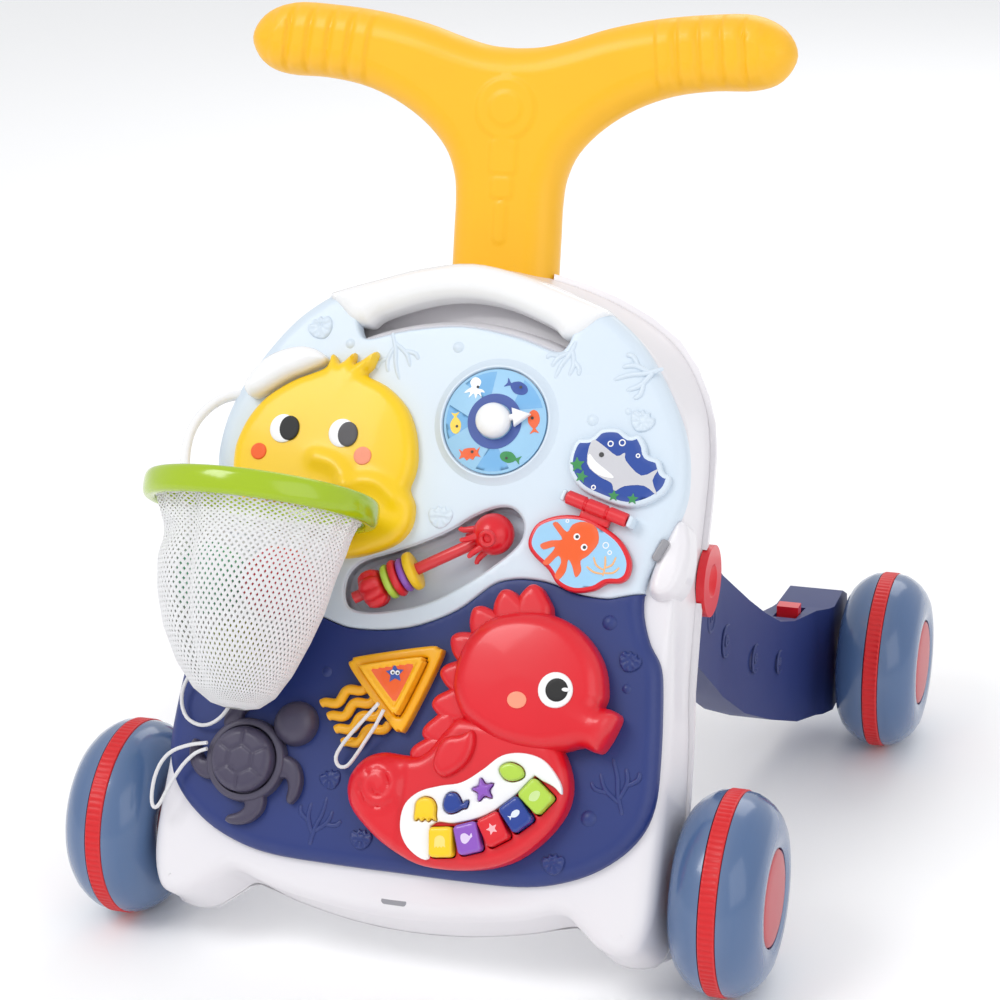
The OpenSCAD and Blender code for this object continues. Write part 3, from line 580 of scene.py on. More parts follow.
NET_STRING = [
    (-105, 172, 14.5), (-113, 170, 10), (-120, 165, 7), (-124, 157, 5), (-124, 149, 4), (-120, 142, 4),
    (-113, 139, 4), (-106, 140, 5), (-99, 145, 7), (-93, 153, 10.5)]
TURTLE_STRING = [
    (-104, 127, 9), (-111, 124, 7), (-118, 117, 5), (-124, 106, 4), (-128, 96, 4), (-131, 94, 4),
    (-133, 99, 4), (-133, 109, 4), (-130, 118, 4.5), (-124, 124, 6), (-114, 128, 8), (-104, 130, 10)]
JELLY_STRING = [
    (-13, 160, 12.5), (-18, 154, 11), (-25, 146, 8.5), (-31, 138, 7), (-34, 131, 6.5), (-32, 126.5, 6),
    (-27.5, 127, 6), (-23.5, 133, 6), (-19, 141, 7), (-14, 149, 9.5), (-10, 157, 12)]


def make_cord(name, body, route, node):
    line = panel.placed(curved(route, 3, closed=False))
    piece = tube(name, body, CORD, line, 1.0)
    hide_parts(node)


make_cord("net_drawstring", "frame", NET_STRING, "net_string")
make_cord("turtle_pull_string", "turtle", TURTLE_STRING, "turtle_string")
make_cord("jelly_pull_string", "jelly", JELLY_STRING, "jelly_string")
make_studio()


# ---------------------------------------------------------------- floor
def make_floor():
    low, _ = cad_box
    size = 6
    mesh = bpy.data.meshes.new("floor")
    corners = [(size * x, size * y, low.z) for x, y in ((-1, -1), (1, -1), (1, 1), (-1, 1))]
    mesh.from_pydata(corners, [], [(0, 1, 2, 3)])
    floor = bpy.data.objects.new("floor", mesh)
    mesh.materials.append(plastic("floor_pale", (255, 255, 255), 0.7, coat=0, grain=0.02, wear=0,
                                  mottle=0.002, depth=False))
    bpy.context.scene.collection.objects.link(floor)


make_floor()


# ---------------------------------------------------------------- frame
REAR_HALF = [
    (0, 405), (32, 400), (67, 389), (100, 370), (119, 343), (127, 312), (128.5, 264), (129, 233),
    (131, 189), (134.5, 160), (137.5, 120), (138.5, 75), (135.5, 53), (125, 46), (111, 47), (98, 56),
    (88, 62), (66, 56), (33, 50), (0, 48)]
FRONT_HALF = [
    (0, 396), (30, 392), (62, 381), (92, 363), (113, 338), (125, 310), (127, 266), (127, 233), (130, 189),
    (133, 160), (135, 120), (136, 78), (131, 57), (122, 51), (110, 53), (99, 61), (88, 67), (66, 61),
    (33, 56), (0, 54)]
PANEL_HALF = [
    (0, 394.5), (28, 390), (52, 382.5), (72, 376), (85, 368), (97, 357), (109, 341), (120, 322), (126, 306),
    (128.5, 290), (128, 277), (124, 264), (117, 248), (113, 235), (113, 222), (118, 207), (125, 196),
    (128, 182), (131, 150), (131, 125), (124, 107), (108, 92), (88, 82.5), (66, 78), (33, 77), (0, 77)]
panel_outline = curved(mirrored(PANEL_HALF), 5)
FACE, BACK, SHELF = -9.0, -50.0, -24.0


def frame_front():
    """The front shell: side walls that narrow forward, a rounded front edge and the panel's pocket."""
    rear, front = curved(mirrored(REAR_HALF), 5), curved(mirrored(FRONT_HALF), 5)
    soft = 2.5 + 7.5 * (1 - ramp(front[:, 1], 170, 235))
    soft = soft + 4 * ramp(front[:, 1], 330, 380)
    rings = []
    for t in np.linspace(0, 1, 7):
        n = BACK + (FACE - soft - BACK) * t
        rings.append(np.column_stack([rear + (front - rear) * t ** 0.8, n]))
    for angle in range(15, 91, 15):
        a = math.radians(angle)
        ring = shrunk(front, soft * (1 - math.cos(a)))
        rings.append(np.column_stack([ring, FACE - soft + soft * math.sin(a)]))
    count = len(front)
    points = [p for ring in rings for p in ring]
    faces = []
    for k in range(len(rings) - 1):
        for i in range(count):
            j = (i + 1) % count
            faces.append((k * count + i, (k + 1) * count + i, (k + 1) * count + j, k * count + j))
    last = rings[-1][:, :2]
    pocket = shrunk(panel_outline, 10)[::2]
    verts, triangles, where = triangulated([last, pocket], [])
    base = len(points)
    points += [(x, y, FACE) for x, y in verts]
    faces += [tuple(base + i for i in t) for t in triangles]
    low = len(points)
    points += [(x, y, SHELF) for x, y in pocket]
    for i in range(len(pocket)):
        j = (i + 1) % len(pocket)
        faces.append((base + where[count + i], base + where[count + j], low + j, low + i))
    shelf, shelf_faces, _ = triangulated([pocket], [])
    base = len(points)
    points += [(x, y, SHELF) for x, y in shelf]
    faces += [tuple(base + i for i in t) for t in shelf_faces]
    piece = new_piece("frame_front", panel.placed(points), faces, WHITE, "frame")
    weld(piece)
    sharpen(piece, 45)
    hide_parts("frame_front_shell")


frame_front()
soften("frame_rear_shell", WHITE, 1.2)
soften("release_tab", WHITE, 0.6, 2)
for node in ("frame_screws", "front_axle", "rear_axle_left", "rear_axle_right"):
    painted(node, STEEL)

GRIP_HALF = [
    (114.5, 232), (114.5, 241), (119, 258), (124, 269), (130, 267), (133, 254), (132.5, 240), (128, 231),
    (120, 228)]
for side in (-1, 1):
    grip = curved([(side * x, y) for x, y in GRIP_HALF], 5)
    name = "side_grip_right" if side > 0 else "side_grip_left"
    piece = moulded(name, "frame", WHITE, grip, top=-4.5, base=SHELF, radius=4.5, step=1.6,
                    form=lambda p, d: 3.0 * ramp(-p[:, 1], -262, -232) * ramp(d, 0, 4))
    if side > 0:
        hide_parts("side_latches")
    # Painted shade: a grey plug in the slit stands for the dark inside it.
    slit = rounded_box(side * 119, 253, 4, 12, 1.8, -24 * side)
    moulded(f"{name}_slit", "frame", SHADE, slit, top=-1.2, base=-8, radius=0.5, step=1.2)
# Painted shade: a grey plug in the chin latch's slit stands for the dark inside it.
moulded("chin_slit", "frame", SHADE, rounded_box(2, 63, 14, 4.5, 2, 0), top=-9.1, base=-12,
                radius=0.5, step=1.2)


# ---------------------------------------------------------------- push handle
HANDLE_OUT = [
    (0, 117), (14, 118), (30, 122), (52, 129), (78, 134.5), (105, 137.5), (130, 138), (146, 131),
    (153, 118), (146, 104.5), (132, 99), (110, 98), (88, 94.5), (68, 87), (50, 75.5), (37, 62), (31, 48),
    (29.5, 34), (29.5, 20)]


def raised(distance, edge=0.9):
    """1 inside a shape and 0 outside it, from its signed distance."""
    return ramp(-distance, -edge, edge)


def handle_form(p, depth):
    x, w = p[:, 0], p[:, 1]
    # The grips' ribs lean a little, as the arms do.
    along = np.abs(x) + (w - 118) * 0.12
    height = np.zeros(len(p))
    for start in (80, 92, 104, 116, 128):
        height += 1.7 * ramp(along, start, start + 1.6) * (1 - ramp(along, start + 7.5, start + 11.5))
    height *= ramp(depth, 0, 3)
    # A disc, and a row of shrinking tabs below it, stand slightly proud.
    disc = np.hypot(x, w - 84) - 16.5
    inner = np.hypot(x, w - 84) - 9
    height += 1.0 * raised(disc) + 0.8 * raised(inner)
    for top, low, half in ((68, 49, 7.5), (48, 36, 6), (35, 12, 3.4)):
        qx = np.maximum(np.abs(x) - half + 3, 0)
        qw = np.maximum(np.abs(w - (top + low) / 2) - (top - low) / 2 + 3, 0)
        height += 0.9 * raised(np.hypot(qx, qw) - 3) * (disc > 0)
    return height


half = [tuple(p) for p in curved(HANDLE_OUT, 4, closed=False)] + [(29.5, -STEM_LEN)]
outline = half + [(-x, y) for x, y in half[::-1][:-1]]
stand_in(moulded("push_handle_shell", "frame", YELLOW, outline, top=HANDLE_HALF, radius=14.5, step=1.4,
                 form=handle_form, plane=handle, both=True), "push_handle")


# ---------------------------------------------------------------- wheels and legs
TYRE = [
    (25.6, 22.8), (28.5, 23.7), (33, 23.9), (38, 22.8), (42.5, 20.4), (46.3, 17), (49.2, 13), (51.2, 9),
    (51.9, 4.7), (46, 4.7), (43, 15), (36, 20), (25.6, 20.4)]
TYRE_IN = [(18.4, 21.8), (22, 22.9), (28, 23.6)] + TYRE[2:12] + [(24, 20), (18.4, 19)]
RIBS = 100


def tread_ripple(i, j, r, x):
    return -0.55 if i % 4 == 0 and r > 52.2 and abs(x) < 3.5 else 0


def make_wheel(key, body, side, node):
    low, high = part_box(f"wheel_core_{node}")
    centre = ((low.x + high.x) / 2, (low.y + high.y) / 2, (low.z + high.z) / 2)
    half = [(44, 4.4), (51.2, 4.4), (52.1, 4.2), (52.5, 3.7), (52.5, 3)]
    tread = [(radius, -x) for radius, x in half] + half[::-1]
    stand_in(lathed(f"tread_{key}", body, TREAD, tread, centre, (side, 0, 0), RIBS * 4, tread_ripple),
             f"wheel_core_{node}")
    cap = [(0, 24), (7, 24), (16, 23.8), (22, 23.4), (24.2, 22.8), (25.2, 21.6), (25.3, 18), (0, 18)]
    lathed(f"hub_cap_{key}", body, CAP, cap, centre, (side, 0, 0), 72)
    boss = [(4.1, -23), (15.5, -23), (17.4, -22.4), (18.1, -21), (18.1, -15), (4.1, -15)]
    lathed(f"hub_back_{key}", body, CAP, boss, centre, (side, 0, 0), 72)
    stand_in(lathed(f"wheel_face_{key}", body, WHEEL, TYRE, centre, (side, 0, 0), 120),
             f"wheel_tyre_{node}")
    back = [(r, -x) for r, x in TYRE_IN]
    lathed(f"wheel_back_{key}", body, WHEEL, back, centre, (side, 0, 0), 120)


for place, letter in (("front", "f"), ("rear", "r")):
    for side, word in ((-1, "left"), (1, "right")):
        make_wheel(f"{place}_{word}", f"wheel_{place}_{word}", side, letter + word[0])

for word in ("left", "right"):
    soften(f"leg_{word}", LEG, 3.2, 4)
    soften(f"brake_lever_{word}", RED, 1.6, 3)
soften("hinge_pins", RED, 0.9, 3)

# Thin raised rings on the legs' outer faces: along and up from the hinge, out to the face, and radius.
EMBLEM_LINE, DOT_SHARE = 0.8, 0.3
EMBLEMS = [(33, -35, 124.5, 8), (65, -62, 125.2, 9), (108, -90, 131.8, 8), (140, -105, 138.8, 6.5)]
for word in ("left", "right"):
    hinge = np.array(JOINTS[f"leg_{word}_fold"]["pos_m"])
    side = math.copysign(1, hinge[0])
    for i, (along, up, out, r) in enumerate(EMBLEMS):
        ring = [(side * out * MM, hinge[1] + (along + r * math.cos(a)) * MM,
                 hinge[2] + (up + r * math.sin(a)) * MM) for a in np.linspace(0, 2 * math.pi, 33)]
        tube(f"leg_emblem_{word}_{i}", f"leg_{word}", LEG, ring, EMBLEM_LINE)
        dot = [(p[0], hinge[1] + along * MM + (p[1] - hinge[1] - along * MM) * DOT_SHARE,
                hinge[2] + up * MM + (p[2] - hinge[2] - up * MM) * DOT_SHARE) for p in ring]
        tube(f"leg_emblem_dot_{word}_{i}", f"leg_{word}", LEG, dot, EMBLEM_LINE)


# ---------------------------------------------------------------- panel shells
SEAM = [
    (-113, 227), (-95, 222), (-70, 208), (-48, 200), (-36, 198), (-19, 199), (-2, 203), (18, 213),
    (34, 227), (44, 231), (54, 232), (65, 231), (80, 227), (94, 226), (103, 228), (113, 231)]
SLOT = [
    (-45, 218), (-42, 209), (-32, 206.5), (-16, 209), (2, 215), (20, 226), (36, 239), (46, 250), (47, 260),
    (41, 267), (32, 267.5), (20, 262), (8, 253.5), (-6, 246), (-22, 239), (-36, 233.5), (-43, 227)]
seam_line = curved(SEAM, 5, closed=False)
slot_line = curved(SLOT, 4)
right_side = panel_outline[:len(panel_outline) // 2 + 1]
NOTCH = [
    (-74, 375), (-66, 371), (-60, 362.5), (-57, 354), (-51, 350.5), (-30, 356.5), (0, 360.5), (30, 356.5),
    (51, 350.5), (57, 354), (60, 362.5), (66, 371), (74, 375)]
notch_line = curved(NOTCH, 5, closed=False)
upper_right = right_side[(right_side[:, 1] < 374) & (right_side[:, 1] > 232)]
lower_right = right_side[right_side[:, 1] < 230]
flip = np.array([-1, 1])
upper_loop = np.concatenate([notch_line, upper_right, seam_line[::-1], (upper_right * flip)[::-1]])
lower_left = (right_side[right_side[:, 1] < 226] * flip)[::-1]
lower_loop = np.concatenate([lower_right, lower_left[1:], seam_line + (0, -0.4)])
RIM = 6.5


def rim_form(p, depth):
    """Full rounding at the panel's outer edge, and a slight crown over the whole face."""
    outer = away(p, panel_outline)
    return -rounding(outer, RIM) - 1.2 * np.exp(-outer / 30)


stand_in(moulded("panel_upper_face", "frame", PALE, upper_loop, [slot_line], top=0.4, base=-9.6, radius=1.6,
                 step=3, form=rim_form), "panel_upper")
stand_in(moulded("panel_lower_face", "frame", NAVY, lower_loop, top=-0.4, base=-9.6, radius=0.8, step=3,
                 form=rim_form), "panel_lower")
tray = moulded("bead_tray", "frame", PALE, shrunk(slot_line, -3), top=-13.4, base=-14.4, radius=0.3, step=4)


def tray_wall():
    """The bead recess's side wall, from its rim down to its floor."""
    levels = [(0.2, -1), (0, -3), (0, -9), (0.8, -12), (2.4, -13.4), (4, -13.6), (-2.4, -13.6), (-2.4, -1.6)]
    rings = [np.column_stack([shrunk(slot_line, d), np.full(len(slot_line), n)]) for d, n in levels]
    points = [p for ring in rings for p in ring]
    count, total = len(slot_line), len(rings)
    faces = [(k * count + i, k * count + (i + 1) % count, ((k + 1) % total) * count + (i + 1) % count,
              ((k + 1) % total) * count + i) for k in range(total) for i in range(count)]
    wall = new_piece("bead_tray_wall", panel.placed(points), faces, PALE, "frame")
    weld(wall)


tray_wall()

LIP = [
    (-54, 348), (-30, 355), (0, 359), (30, 355), (54, 348), (55, 355), (31, 362.5), (0, 366.5),
    (-31, 362.5), (-55, 355)]
moulded("grip_recess_lip", "frame", WHITE, curved(LIP, 4), top=-2.6, base=SHELF, radius=4.5, step=1.8,
                form=lambda p, d: -9 * ramp(p[:, 1] + np.abs(p[:, 0]) ** 2 * 0.0038, 361, 367))
ARCH = [
    (-78, 373), (-70, 377), (-52, 383), (-28, 390.5), (0, 395), (28, 390.5), (52, 383), (70, 377),
    (78, 373), (72, 368), (63, 360), (54, 358.5), (47, 364), (28, 371.5), (14, 375), (0, 376.2), (-14, 375),
    (-28, 371.5), (-47, 364), (-54, 358.5), (-63, 360), (-72, 368)]
stand_in(moulded("carry_handle_grip", "frame", SILK, curved(ARCH, 4), top=4, base=-15, radius=8.6, step=1.8),
         "carry_handle")


# ---------------------------------------------------------------- reliefs on the panel
def bubble(name, material, u, v, r, n=-0.6):
    moulded(name, "frame", material, ellipse(u, v, r), top=n + 0.45 * r, base=n - 0.5,
                    radius=0.92 * r, step=r / 4)


def shell_relief(name, material, u, v, r, turn=0, n=-0.4):
    def ribs(p, d):
        angle = np.arctan2(p[:, 1] - v, p[:, 0] - u)
        return 0.35 * np.cos(angle * 8) * ramp(d, 0, 1.5)
    half = [(0, -1), (0.7, -0.6), (1, 0.1), (0.8, 0.55), (0.45, 0.5), (0.3, 0.78), (0, 0.62)]
    outline = turned(mirrored(half), u, v, r, turn)
    moulded(name, "frame", material, curved(outline, 4), top=n + 1.6, base=n - 0.4, radius=1.3,
                    step=1, form=ribs)


def coral(name, material, u, v, size, turn, n=-0.3):
    stems = [[(0, -1), (0, -0.3), (0.12, 0.35), (0.1, 1)], [(0, -0.6), (-0.4, 0), (-0.45, 0.6)],
             [(0, -0.45), (0.42, 0.05), (0.5, 0.55)], [(-0.3, -0.15), (-0.75, 0.1), (-0.85, 0.4)],
             [(0.35, -0.05), (0.8, 0.05), (0.95, 0.3)]]
    for i, stem in enumerate(stems):
        flat = turned(stem, u, v, size, turn)
        line = np.column_stack([flat, np.full(len(flat), n)])
        worm(f"{name}_{i}", "frame", material, line, 1.5, ends=0.5)


for i, (u, v, r) in enumerate([(-61, 347, 4), (-1, 349, 4.6), (76, 316, 4.6), (94, 322, 3)]):
    bubble(f"bubble_pale_{i}", PALE, u, v, r, -0.9)
for i, (u, v, r) in enumerate([(98, 214, 5), (100, 116, 5.4), (-48, 174, 4.6), (111, 182, 3.4)]):
    bubble(f"bubble_navy_{i}", NAVY, u, v, r, -1.7)
for i, (u, v, r, turn) in enumerate([(-79, 355, 7, 30), (2, 260, 7, 0), (102, 318, 6.5, -20)]):
    shell_relief(f"shell_pale_{i}", PALE, u, v, r, turn)
for i, (u, v, turn) in enumerate([(111, 196, -20), (85, 92, 10), (-38, 120, 20), (-17, 92, 0)]):
    shell_relief(f"shell_navy_{i}", NAVY, u, v, 6, turn, -1.2)
for i, (u, v, s, turn) in enumerate([(-34, 342, 13, 200), (58, 346, 11, 160), (97, 341, 13, 110)]):
    coral(f"coral_pale_{i}", PALE, u, v, s, turn, -0.6)
for i, (u, v, s, turn) in enumerate([(112, 133, 14, 20), (-42, 98, 13, -10), (-106, 172, 14, 20)]):
    coral(f"coral_navy_{i}", NAVY, u, v, s, turn, -1.6)


# ---------------------------------------------------------------- duck, hoop, net and rod
DUCK_FACE = [
    (-115, 283), (-113.5, 293), (-109, 304), (-101, 314.5), (-88, 324), (-76, 329.5), (-70, 333),
    (-68, 340), (-63, 335), (-56, 341.5), (-55, 335), (-44, 343), (-45, 335), (-48, 330), (-36, 325),
    (-24, 315), (-17, 302), (-14, 288), (-14.5, 279), (-16, 272), (-12, 264), (-12, 253), (-18, 244),
    (-29, 238), (-44, 233.5), (-62, 232.5), (-78, 235), (-94, 242), (-106, 254), (-113, 268)]
HOOP = (-71.5, 251, 62)
HOOP_R, HOOP_H = 60, 17
UPPER_BILL = [(-66, 283), (-57, 281), (-51, 276), (-49, 270)]
LOWER_BILL = [(-47, 270), (-38, 273), (-29, 271.5), (-21, 266)]


def ridge(p, line, width, height):
    return height * np.exp(-(away(p, curved(line, 6, closed=False), closed=False) / width) ** 2)


def duck_form(p, depth):
    height = 2.6 * (1 - np.exp(-depth / 14))
    height = height + ridge(p, UPPER_BILL, 5, 2.4) + ridge(p, LOWER_BILL, 4.5, 2.2)
    top = 9 + height - rounding(depth, 5)
    gap = np.maximum(np.abs(p[:, 1] - HOOP[1]) - HOOP_H / 2, 0)
    reach = HOOP[2] - np.sqrt(np.maximum((HOOP_R + 0.4) ** 2 - (p[:, 0] - HOOP[0]) ** 2, 0))
    return np.minimum(top, reach + 2.2 * gap ** 1.5) - (9 - rounding(depth, 5))


stand_in(moulded("duck_face", "frame", DUCK, curved(DUCK_FACE, 3), top=9, base=SUNK, radius=5, step=1.7,
                 form=duck_form), "duck_head")


def spot(name, material, body, u, v, rx, ry, n, turn=0, crown=0.5):
    return moulded(name, body, material, ellipse(u, v, rx, ry, turn), top=n, base=n - 1.4, radius=crown,
                   step=max(1.0, rx / 4))


for name, material, u, v, rx, ry, n in [
        ("duck_eye_left", SILK, -87, 297, 7.3, 7.6, 12.2), ("duck_eye_right", SILK, -54, 297, 7.3, 7.6, 12.2),
        ("duck_pupil_left", BLACK, -83.4, 297.4, 5.4, 6.6, 12.5),
        # Painted reflection: the right pupil is the same black as the left, drawn grey for the glare on it.
        ("duck_pupil_right", PUPIL_BLACK_PAINTED_GLARE, -50.6, 296.6, 5.4, 6.6, 12.5),
        ("duck_cheek_left", CHEEK, -99, 284, 4.4, 4.4, 11.6),
        ("duck_cheek_right", PINK, -41, 286, 4.8, 4.8, 12)]:
    spot(name, material, "frame", u, v, rx, ry, n)


def hoop_ring():
    profile = []
    for t in np.linspace(0, 2 * math.pi, 28, endpoint=False):
        c, s = math.cos(t), math.sin(t)
        profile.append((HOOP_R - 4.6 + 4 * math.copysign(abs(c) ** 0.75, c),
                        6.8 * math.copysign(abs(s) ** 0.7, s)))
    stand_in(lathed("hoop_ring", "frame", LIME, profile, at(*HOOP), Vector(panel.v), 160),
             "net_hoop")


hoop_ring()

BAG = np.array([(-71.5, 246, 62, 50), (-72, 238, 61, 47.5), (-73, 229, 59.5, 46.2), (-76, 216, 56, 44.5),
                (-79, 200, 50, 42), (-82, 184, 43, 37), (-84, 168, 35, 29.5), (-85, 156, 28.5, 21),
                (-85, 150, 25.5, 12.5), (-85, 148.4, 24.6, 5)], float)
BALL_SPOTS = [(-98, 210, 50), (-59, 211, 54), (-83, 174, 38)]
BALL_R = 19


def bag_point(row, angle):
    """A point of the bag: row runs from 0 at the hoop to 1 at the bottom."""
    t = row * (len(BAG) - 1)
    i = min(int(t), len(BAG) - 2)
    u, v, n, r = BAG[i] + (BAG[i + 1] - BAG[i]) * (t - i)
    frill = 1.3 * math.exp(-row * 7) * math.sin(angle * 22) + 1.1 * (1 - row) * math.sin(angle * 5 + 1)
    crease = -5 * math.exp(-((angle - 1.98) / 0.13) ** 2) * math.sin(math.pi * min(1, row * 1.25)) ** 0.7
    dent = -4 * math.exp(-((angle - 2.5) / 0.3) ** 2) * math.exp(-((row - 0.22) / 0.07) ** 2)
    r += (frill + crease + dent) * min(1, r / 20)
    return np.array([u + r * math.cos(angle), v, n + r * math.sin(angle)])


def net_bag():
    """Knitted net: diamond cells in staggered rows, each with a real hole."""
    around, rows = 84, 64
    points = np.array([bag_point(j / rows, 2 * math.pi * (i + 0.5 * (j % 2)) / around)
                       for j in range(rows + 1) for i in range(around)])
    cells = []
    for j in range(1, rows):
        for i in range(around):
            ahead = (i + 1) % around
            across = ahead if j % 2 else i
            cells.append((j * around + i, (j + 1) * around + across, j * around + ahead,
                          (j - 1) * around + across, j))
    all_points, faces = list(points), []
    for a, b, c, d, j in cells:
        corner = points[[a, b, c, d]]
        middle = corner.mean(0)
        share = 0.6 if j < 7 else 0.42 if j < rows - 8 else 0.2
        start = len(all_points)
        all_points += [middle + (p - middle) * share for p in corner]
        outer, inner = (a, b, c, d), (start, start + 1, start + 2, start + 3)
        for k in range(4):
            m = (k + 1) % 4
            faces.append((outer[k], outer[m], inner[m], inner[k]))
    bag = new_piece("net_sheet", panel.placed(all_points), faces, NET, "frame")
    weld(bag)
    thick = bag.modifiers.new("thickness", "SOLIDIFY")
    thick.thickness = 0.0005
    thick.offset = 0
    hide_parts("net_bag")
    hem = [bag_point(0.0, 2 * math.pi * i / 96) + (0, 0.6, 0) for i in range(97)]
    tube("net_hem", "frame", NET, panel.placed(hem), 1.5)


net_bag()


def ball(name, material, centre, radius):
    """A play ball with a moulding seam round its middle."""
    profile = []
    for a in np.linspace(-90, 90, 31):
        bump = 0.25 * math.exp(-(a / 2.5) ** 2)
        profile.append(((radius + bump) * math.cos(math.radians(a)), radius * math.sin(math.radians(a))))
    piece = lathed(name, "frame", material, profile, at(*centre), (0.2, 0.3, 1), 48)
    return piece


for i, centre in enumerate(BALL_SPOTS):
    piece = ball(f"play_ball_{i}", BALLS[i], centre, BALL_R)
    if i == 0:
        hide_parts("net_balls")

LEAF = [
    (-114, 320), (-107, 332), (-97, 339), (-84, 342.5), (-74, 340), (-71, 335.5), (-80, 330), (-91, 324.5),
    (-103, 316), (-110, 313.5)]
ROD = [
    (-112, 316, -6), (-121, 316, -5), (-130, 311, 1), (-135, 300, 11), (-135, 287, 21), (-131.5, 273, 29),
    (-127, 261, 33)]
stand_in(moulded("rod_grip", "frame", SILK, curved(LEAF, 4), top=12, base=0, radius=5.5, step=1.5),
         "fishing_rod")
tube("rod_tube", "frame", SILK, panel.placed(curved(ROD, 5, closed=False)), 2.6)


# ---------------------------------------------------------------- dial, shark plate and octopus flap
FISH = [
    (1, 0), (0.7, 0.42), (0, 0.55), (-0.5, 0.3), (-0.72, 0.12), (-1.15, 0.42), (-1.02, 0), (-1.15, -0.42),
    (-0.72, -0.12), (-0.5, -0.3), (0, -0.55), (0.7, -0.42)]
CRAB = [
    (1, 0.5), (0.65, 0.25), (0.5, 0.45), (0, 0.5), (-0.5, 0.45), (-0.65, 0.25), (-1, 0.5), (-0.8, 0),
    (-1, -0.4), (-0.55, -0.3), (-0.3, -0.6), (0, -0.45), (0.3, -0.6), (0.55, -0.3), (1, -0.4), (0.8, 0)]
STAR = [(math.cos(math.radians(90 + 36 * i)) * (1 if i % 2 == 0 else 0.5),
         math.sin(math.radians(90 + 36 * i)) * (1 if i % 2 == 0 else 0.5)) for i in range(10)]
OCTOPUS = [
    (-0.35, 0.1), (-0.55, 0.5), (-0.3, 0.95), (0.15, 1), (0.5, 0.7), (0.45, 0.3), (0.25, 0), (0.75, -0.1),
    (1, -0.35), (0.6, -0.35), (0.75, -0.8), (0.35, -0.5), (0.2, -1), (-0.05, -0.5), (-0.5, -0.95),
    (-0.4, -0.4), (-1, -0.55), (-0.65, -0.15)]


PRINT_RISE, PRINT_ROOT = 0.14, 0.6


def printed(name, body, material, outline, n):
    """A thin printed patch lying on a surface at height n."""
    return moulded(name, body, material, outline, top=n + PRINT_RISE, base=n - PRINT_ROOT, radius=0, step=2.2)


def on_dial(points, r, angle, size, turn):
    a = math.radians(angle)
    return turned(points, DIAL[0] + r * math.cos(a), DIAL[1] + r * math.sin(a), size, turn)


axis = Vector(panel.n)
dial_centre = at(*DIAL)
rim = [
    (28.2, -0.6), (28.3, 2.6), (28.8, 3.2), (29.5, 3.2), (30.3, 2.4), (31.6, 1.2), (33.8, 0.1), (34, -0.6)]
lathed("dial_rim", "frame", PALE, rim, dial_centre, axis, 96)
disc = [(3.1, 0.5), (27.2, 0.5), (27.5, 0.8), (27.5, 2.7), (27.1, 3), (3.1, 3)]
stand_in(lathed("dial_picture", "dial", SKY, disc, dial_centre, axis, 96), "dial_disc")
WEDGE_R = 26.19
for i, start in enumerate((20, 95, 165, 255)):
    middle = math.radians(start + 20)
    wedge = [(10 * math.cos(middle), 10 * math.sin(middle))]
    wedge += [(WEDGE_R * math.cos(math.radians(start + a)), WEDGE_R * math.sin(math.radians(start + a)))
              for a in range(0, 41, 8)]
    printed(f"dial_wedge_{i}", "dial", SKY_DEEP, turned(wedge, *DIAL), 2.96)
for i, (shape, material, angle, size, turn) in enumerate([
        (FISH, PRINT_BLUE, 62, 5.2, -20), (FISH, DEEP_ORANGE, 5, 5, 100), (FISH, PRINT_GREEN, -60, 4.6, 170),
        (CRAB, DEEP_ORANGE, -122, 5, 10), (FISH, DUCK, 188, 4.6, -80), (OCTOPUS, SILK, 128, 4.8, 0)]):
    creature = curved(on_dial(shape, 21, angle, size * 1.15, turn), 3)
    printed(f"dial_creature_{i}", "dial", material, creature, 3.1)
    printed(f"dial_creature_eye_{i}", "dial", BLACK,
            on_dial(ellipse(0.3, 0.15, 0.16, count=10), 21, angle, size, turn), 3.25)
band = [(9.6, 2.8), (9.6, 3.35), (14.5, 3.35), (14.5, 2.8)]
lathed("dial_band", "dial", PRINT_BLUE, band, dial_centre, axis, 64)
knob = [(0, 12.4), (3.5, 12.3), (6.4, 11.4), (8.3, 9.6), (9.1, 7), (9.1, 3.8), (0, 3.8)]
stand_in(lathed("dial_knob_cap", "dial_pointer", SILK, knob, dial_centre, axis, 64),
         "dial_knob")
arrow = turned([(6, -1.7), (10.5, -1.5), (10.5, -5), (20, 0), (10.5, 5), (10.5, 1.5), (6, 1.7)], *DIAL, 1, 14)
moulded("dial_arrow", "dial_pointer", SILK, arrow, top=7, base=3.9, radius=0.9, step=1.4)

PLATE = [
    (67, 297), (70, 305), (77, 306.5), (82, 311.5), (91, 312.5), (97, 309), (102, 310), (106, 305),
    (108, 300), (114, 298), (117, 292), (121, 289.5), (119, 282), (111, 275.5), (100, 272.5), (86, 275.5),
    (75, 280), (68, 288)]
plate = curved(PLATE, 4)
stand_in(moulded("shark_frame", "frame", PALE, plate, top=3.6, base=SUNK, radius=1.4, step=1.6),
         "shark_plate")
printed("shark_sea", "frame", PRINT_BLUE, shrunk(plate, 2.6), 3.55)
SHARK = [
    (78, 305), (84, 303), (92, 298), (96, 300), (97, 296), (106, 289), (114, 293), (112, 287), (115, 280),
    (108, 284), (98, 283), (93, 280), (91, 284), (84, 287), (77, 293)]
printed("shark_back", "frame", PRINT_GREY, curved(SHARK, 3), 3.7)
BELLY = [(77.5, 298), (82, 294), (92, 287), (84, 287.5), (78, 292)]
printed("shark_belly", "frame", SILK, curved(BELLY, 4), 3.85)
printed("shark_eye", "frame", BLACK, ellipse(84, 298, 1.3), 3.9)
for i, (u, v, r) in enumerate([(88, 304, 1.6), (94, 305, 1.8), (103, 299, 1.2), (82, 281, 1.3)]):
    ring = [(r, 3.5), (r, 3.95), (r - 0.6, 3.95), (r - 0.6, 3.5)]
    lathed(f"shark_bubble_{i}", "frame", SILK, ring, at(u, v), axis, 20)
WEEDS = [(72, 292, 4, 10), (75, 286, 3.4, -10), (93, 277.6, 3, 0), (103, 276.8, 3, 0)]
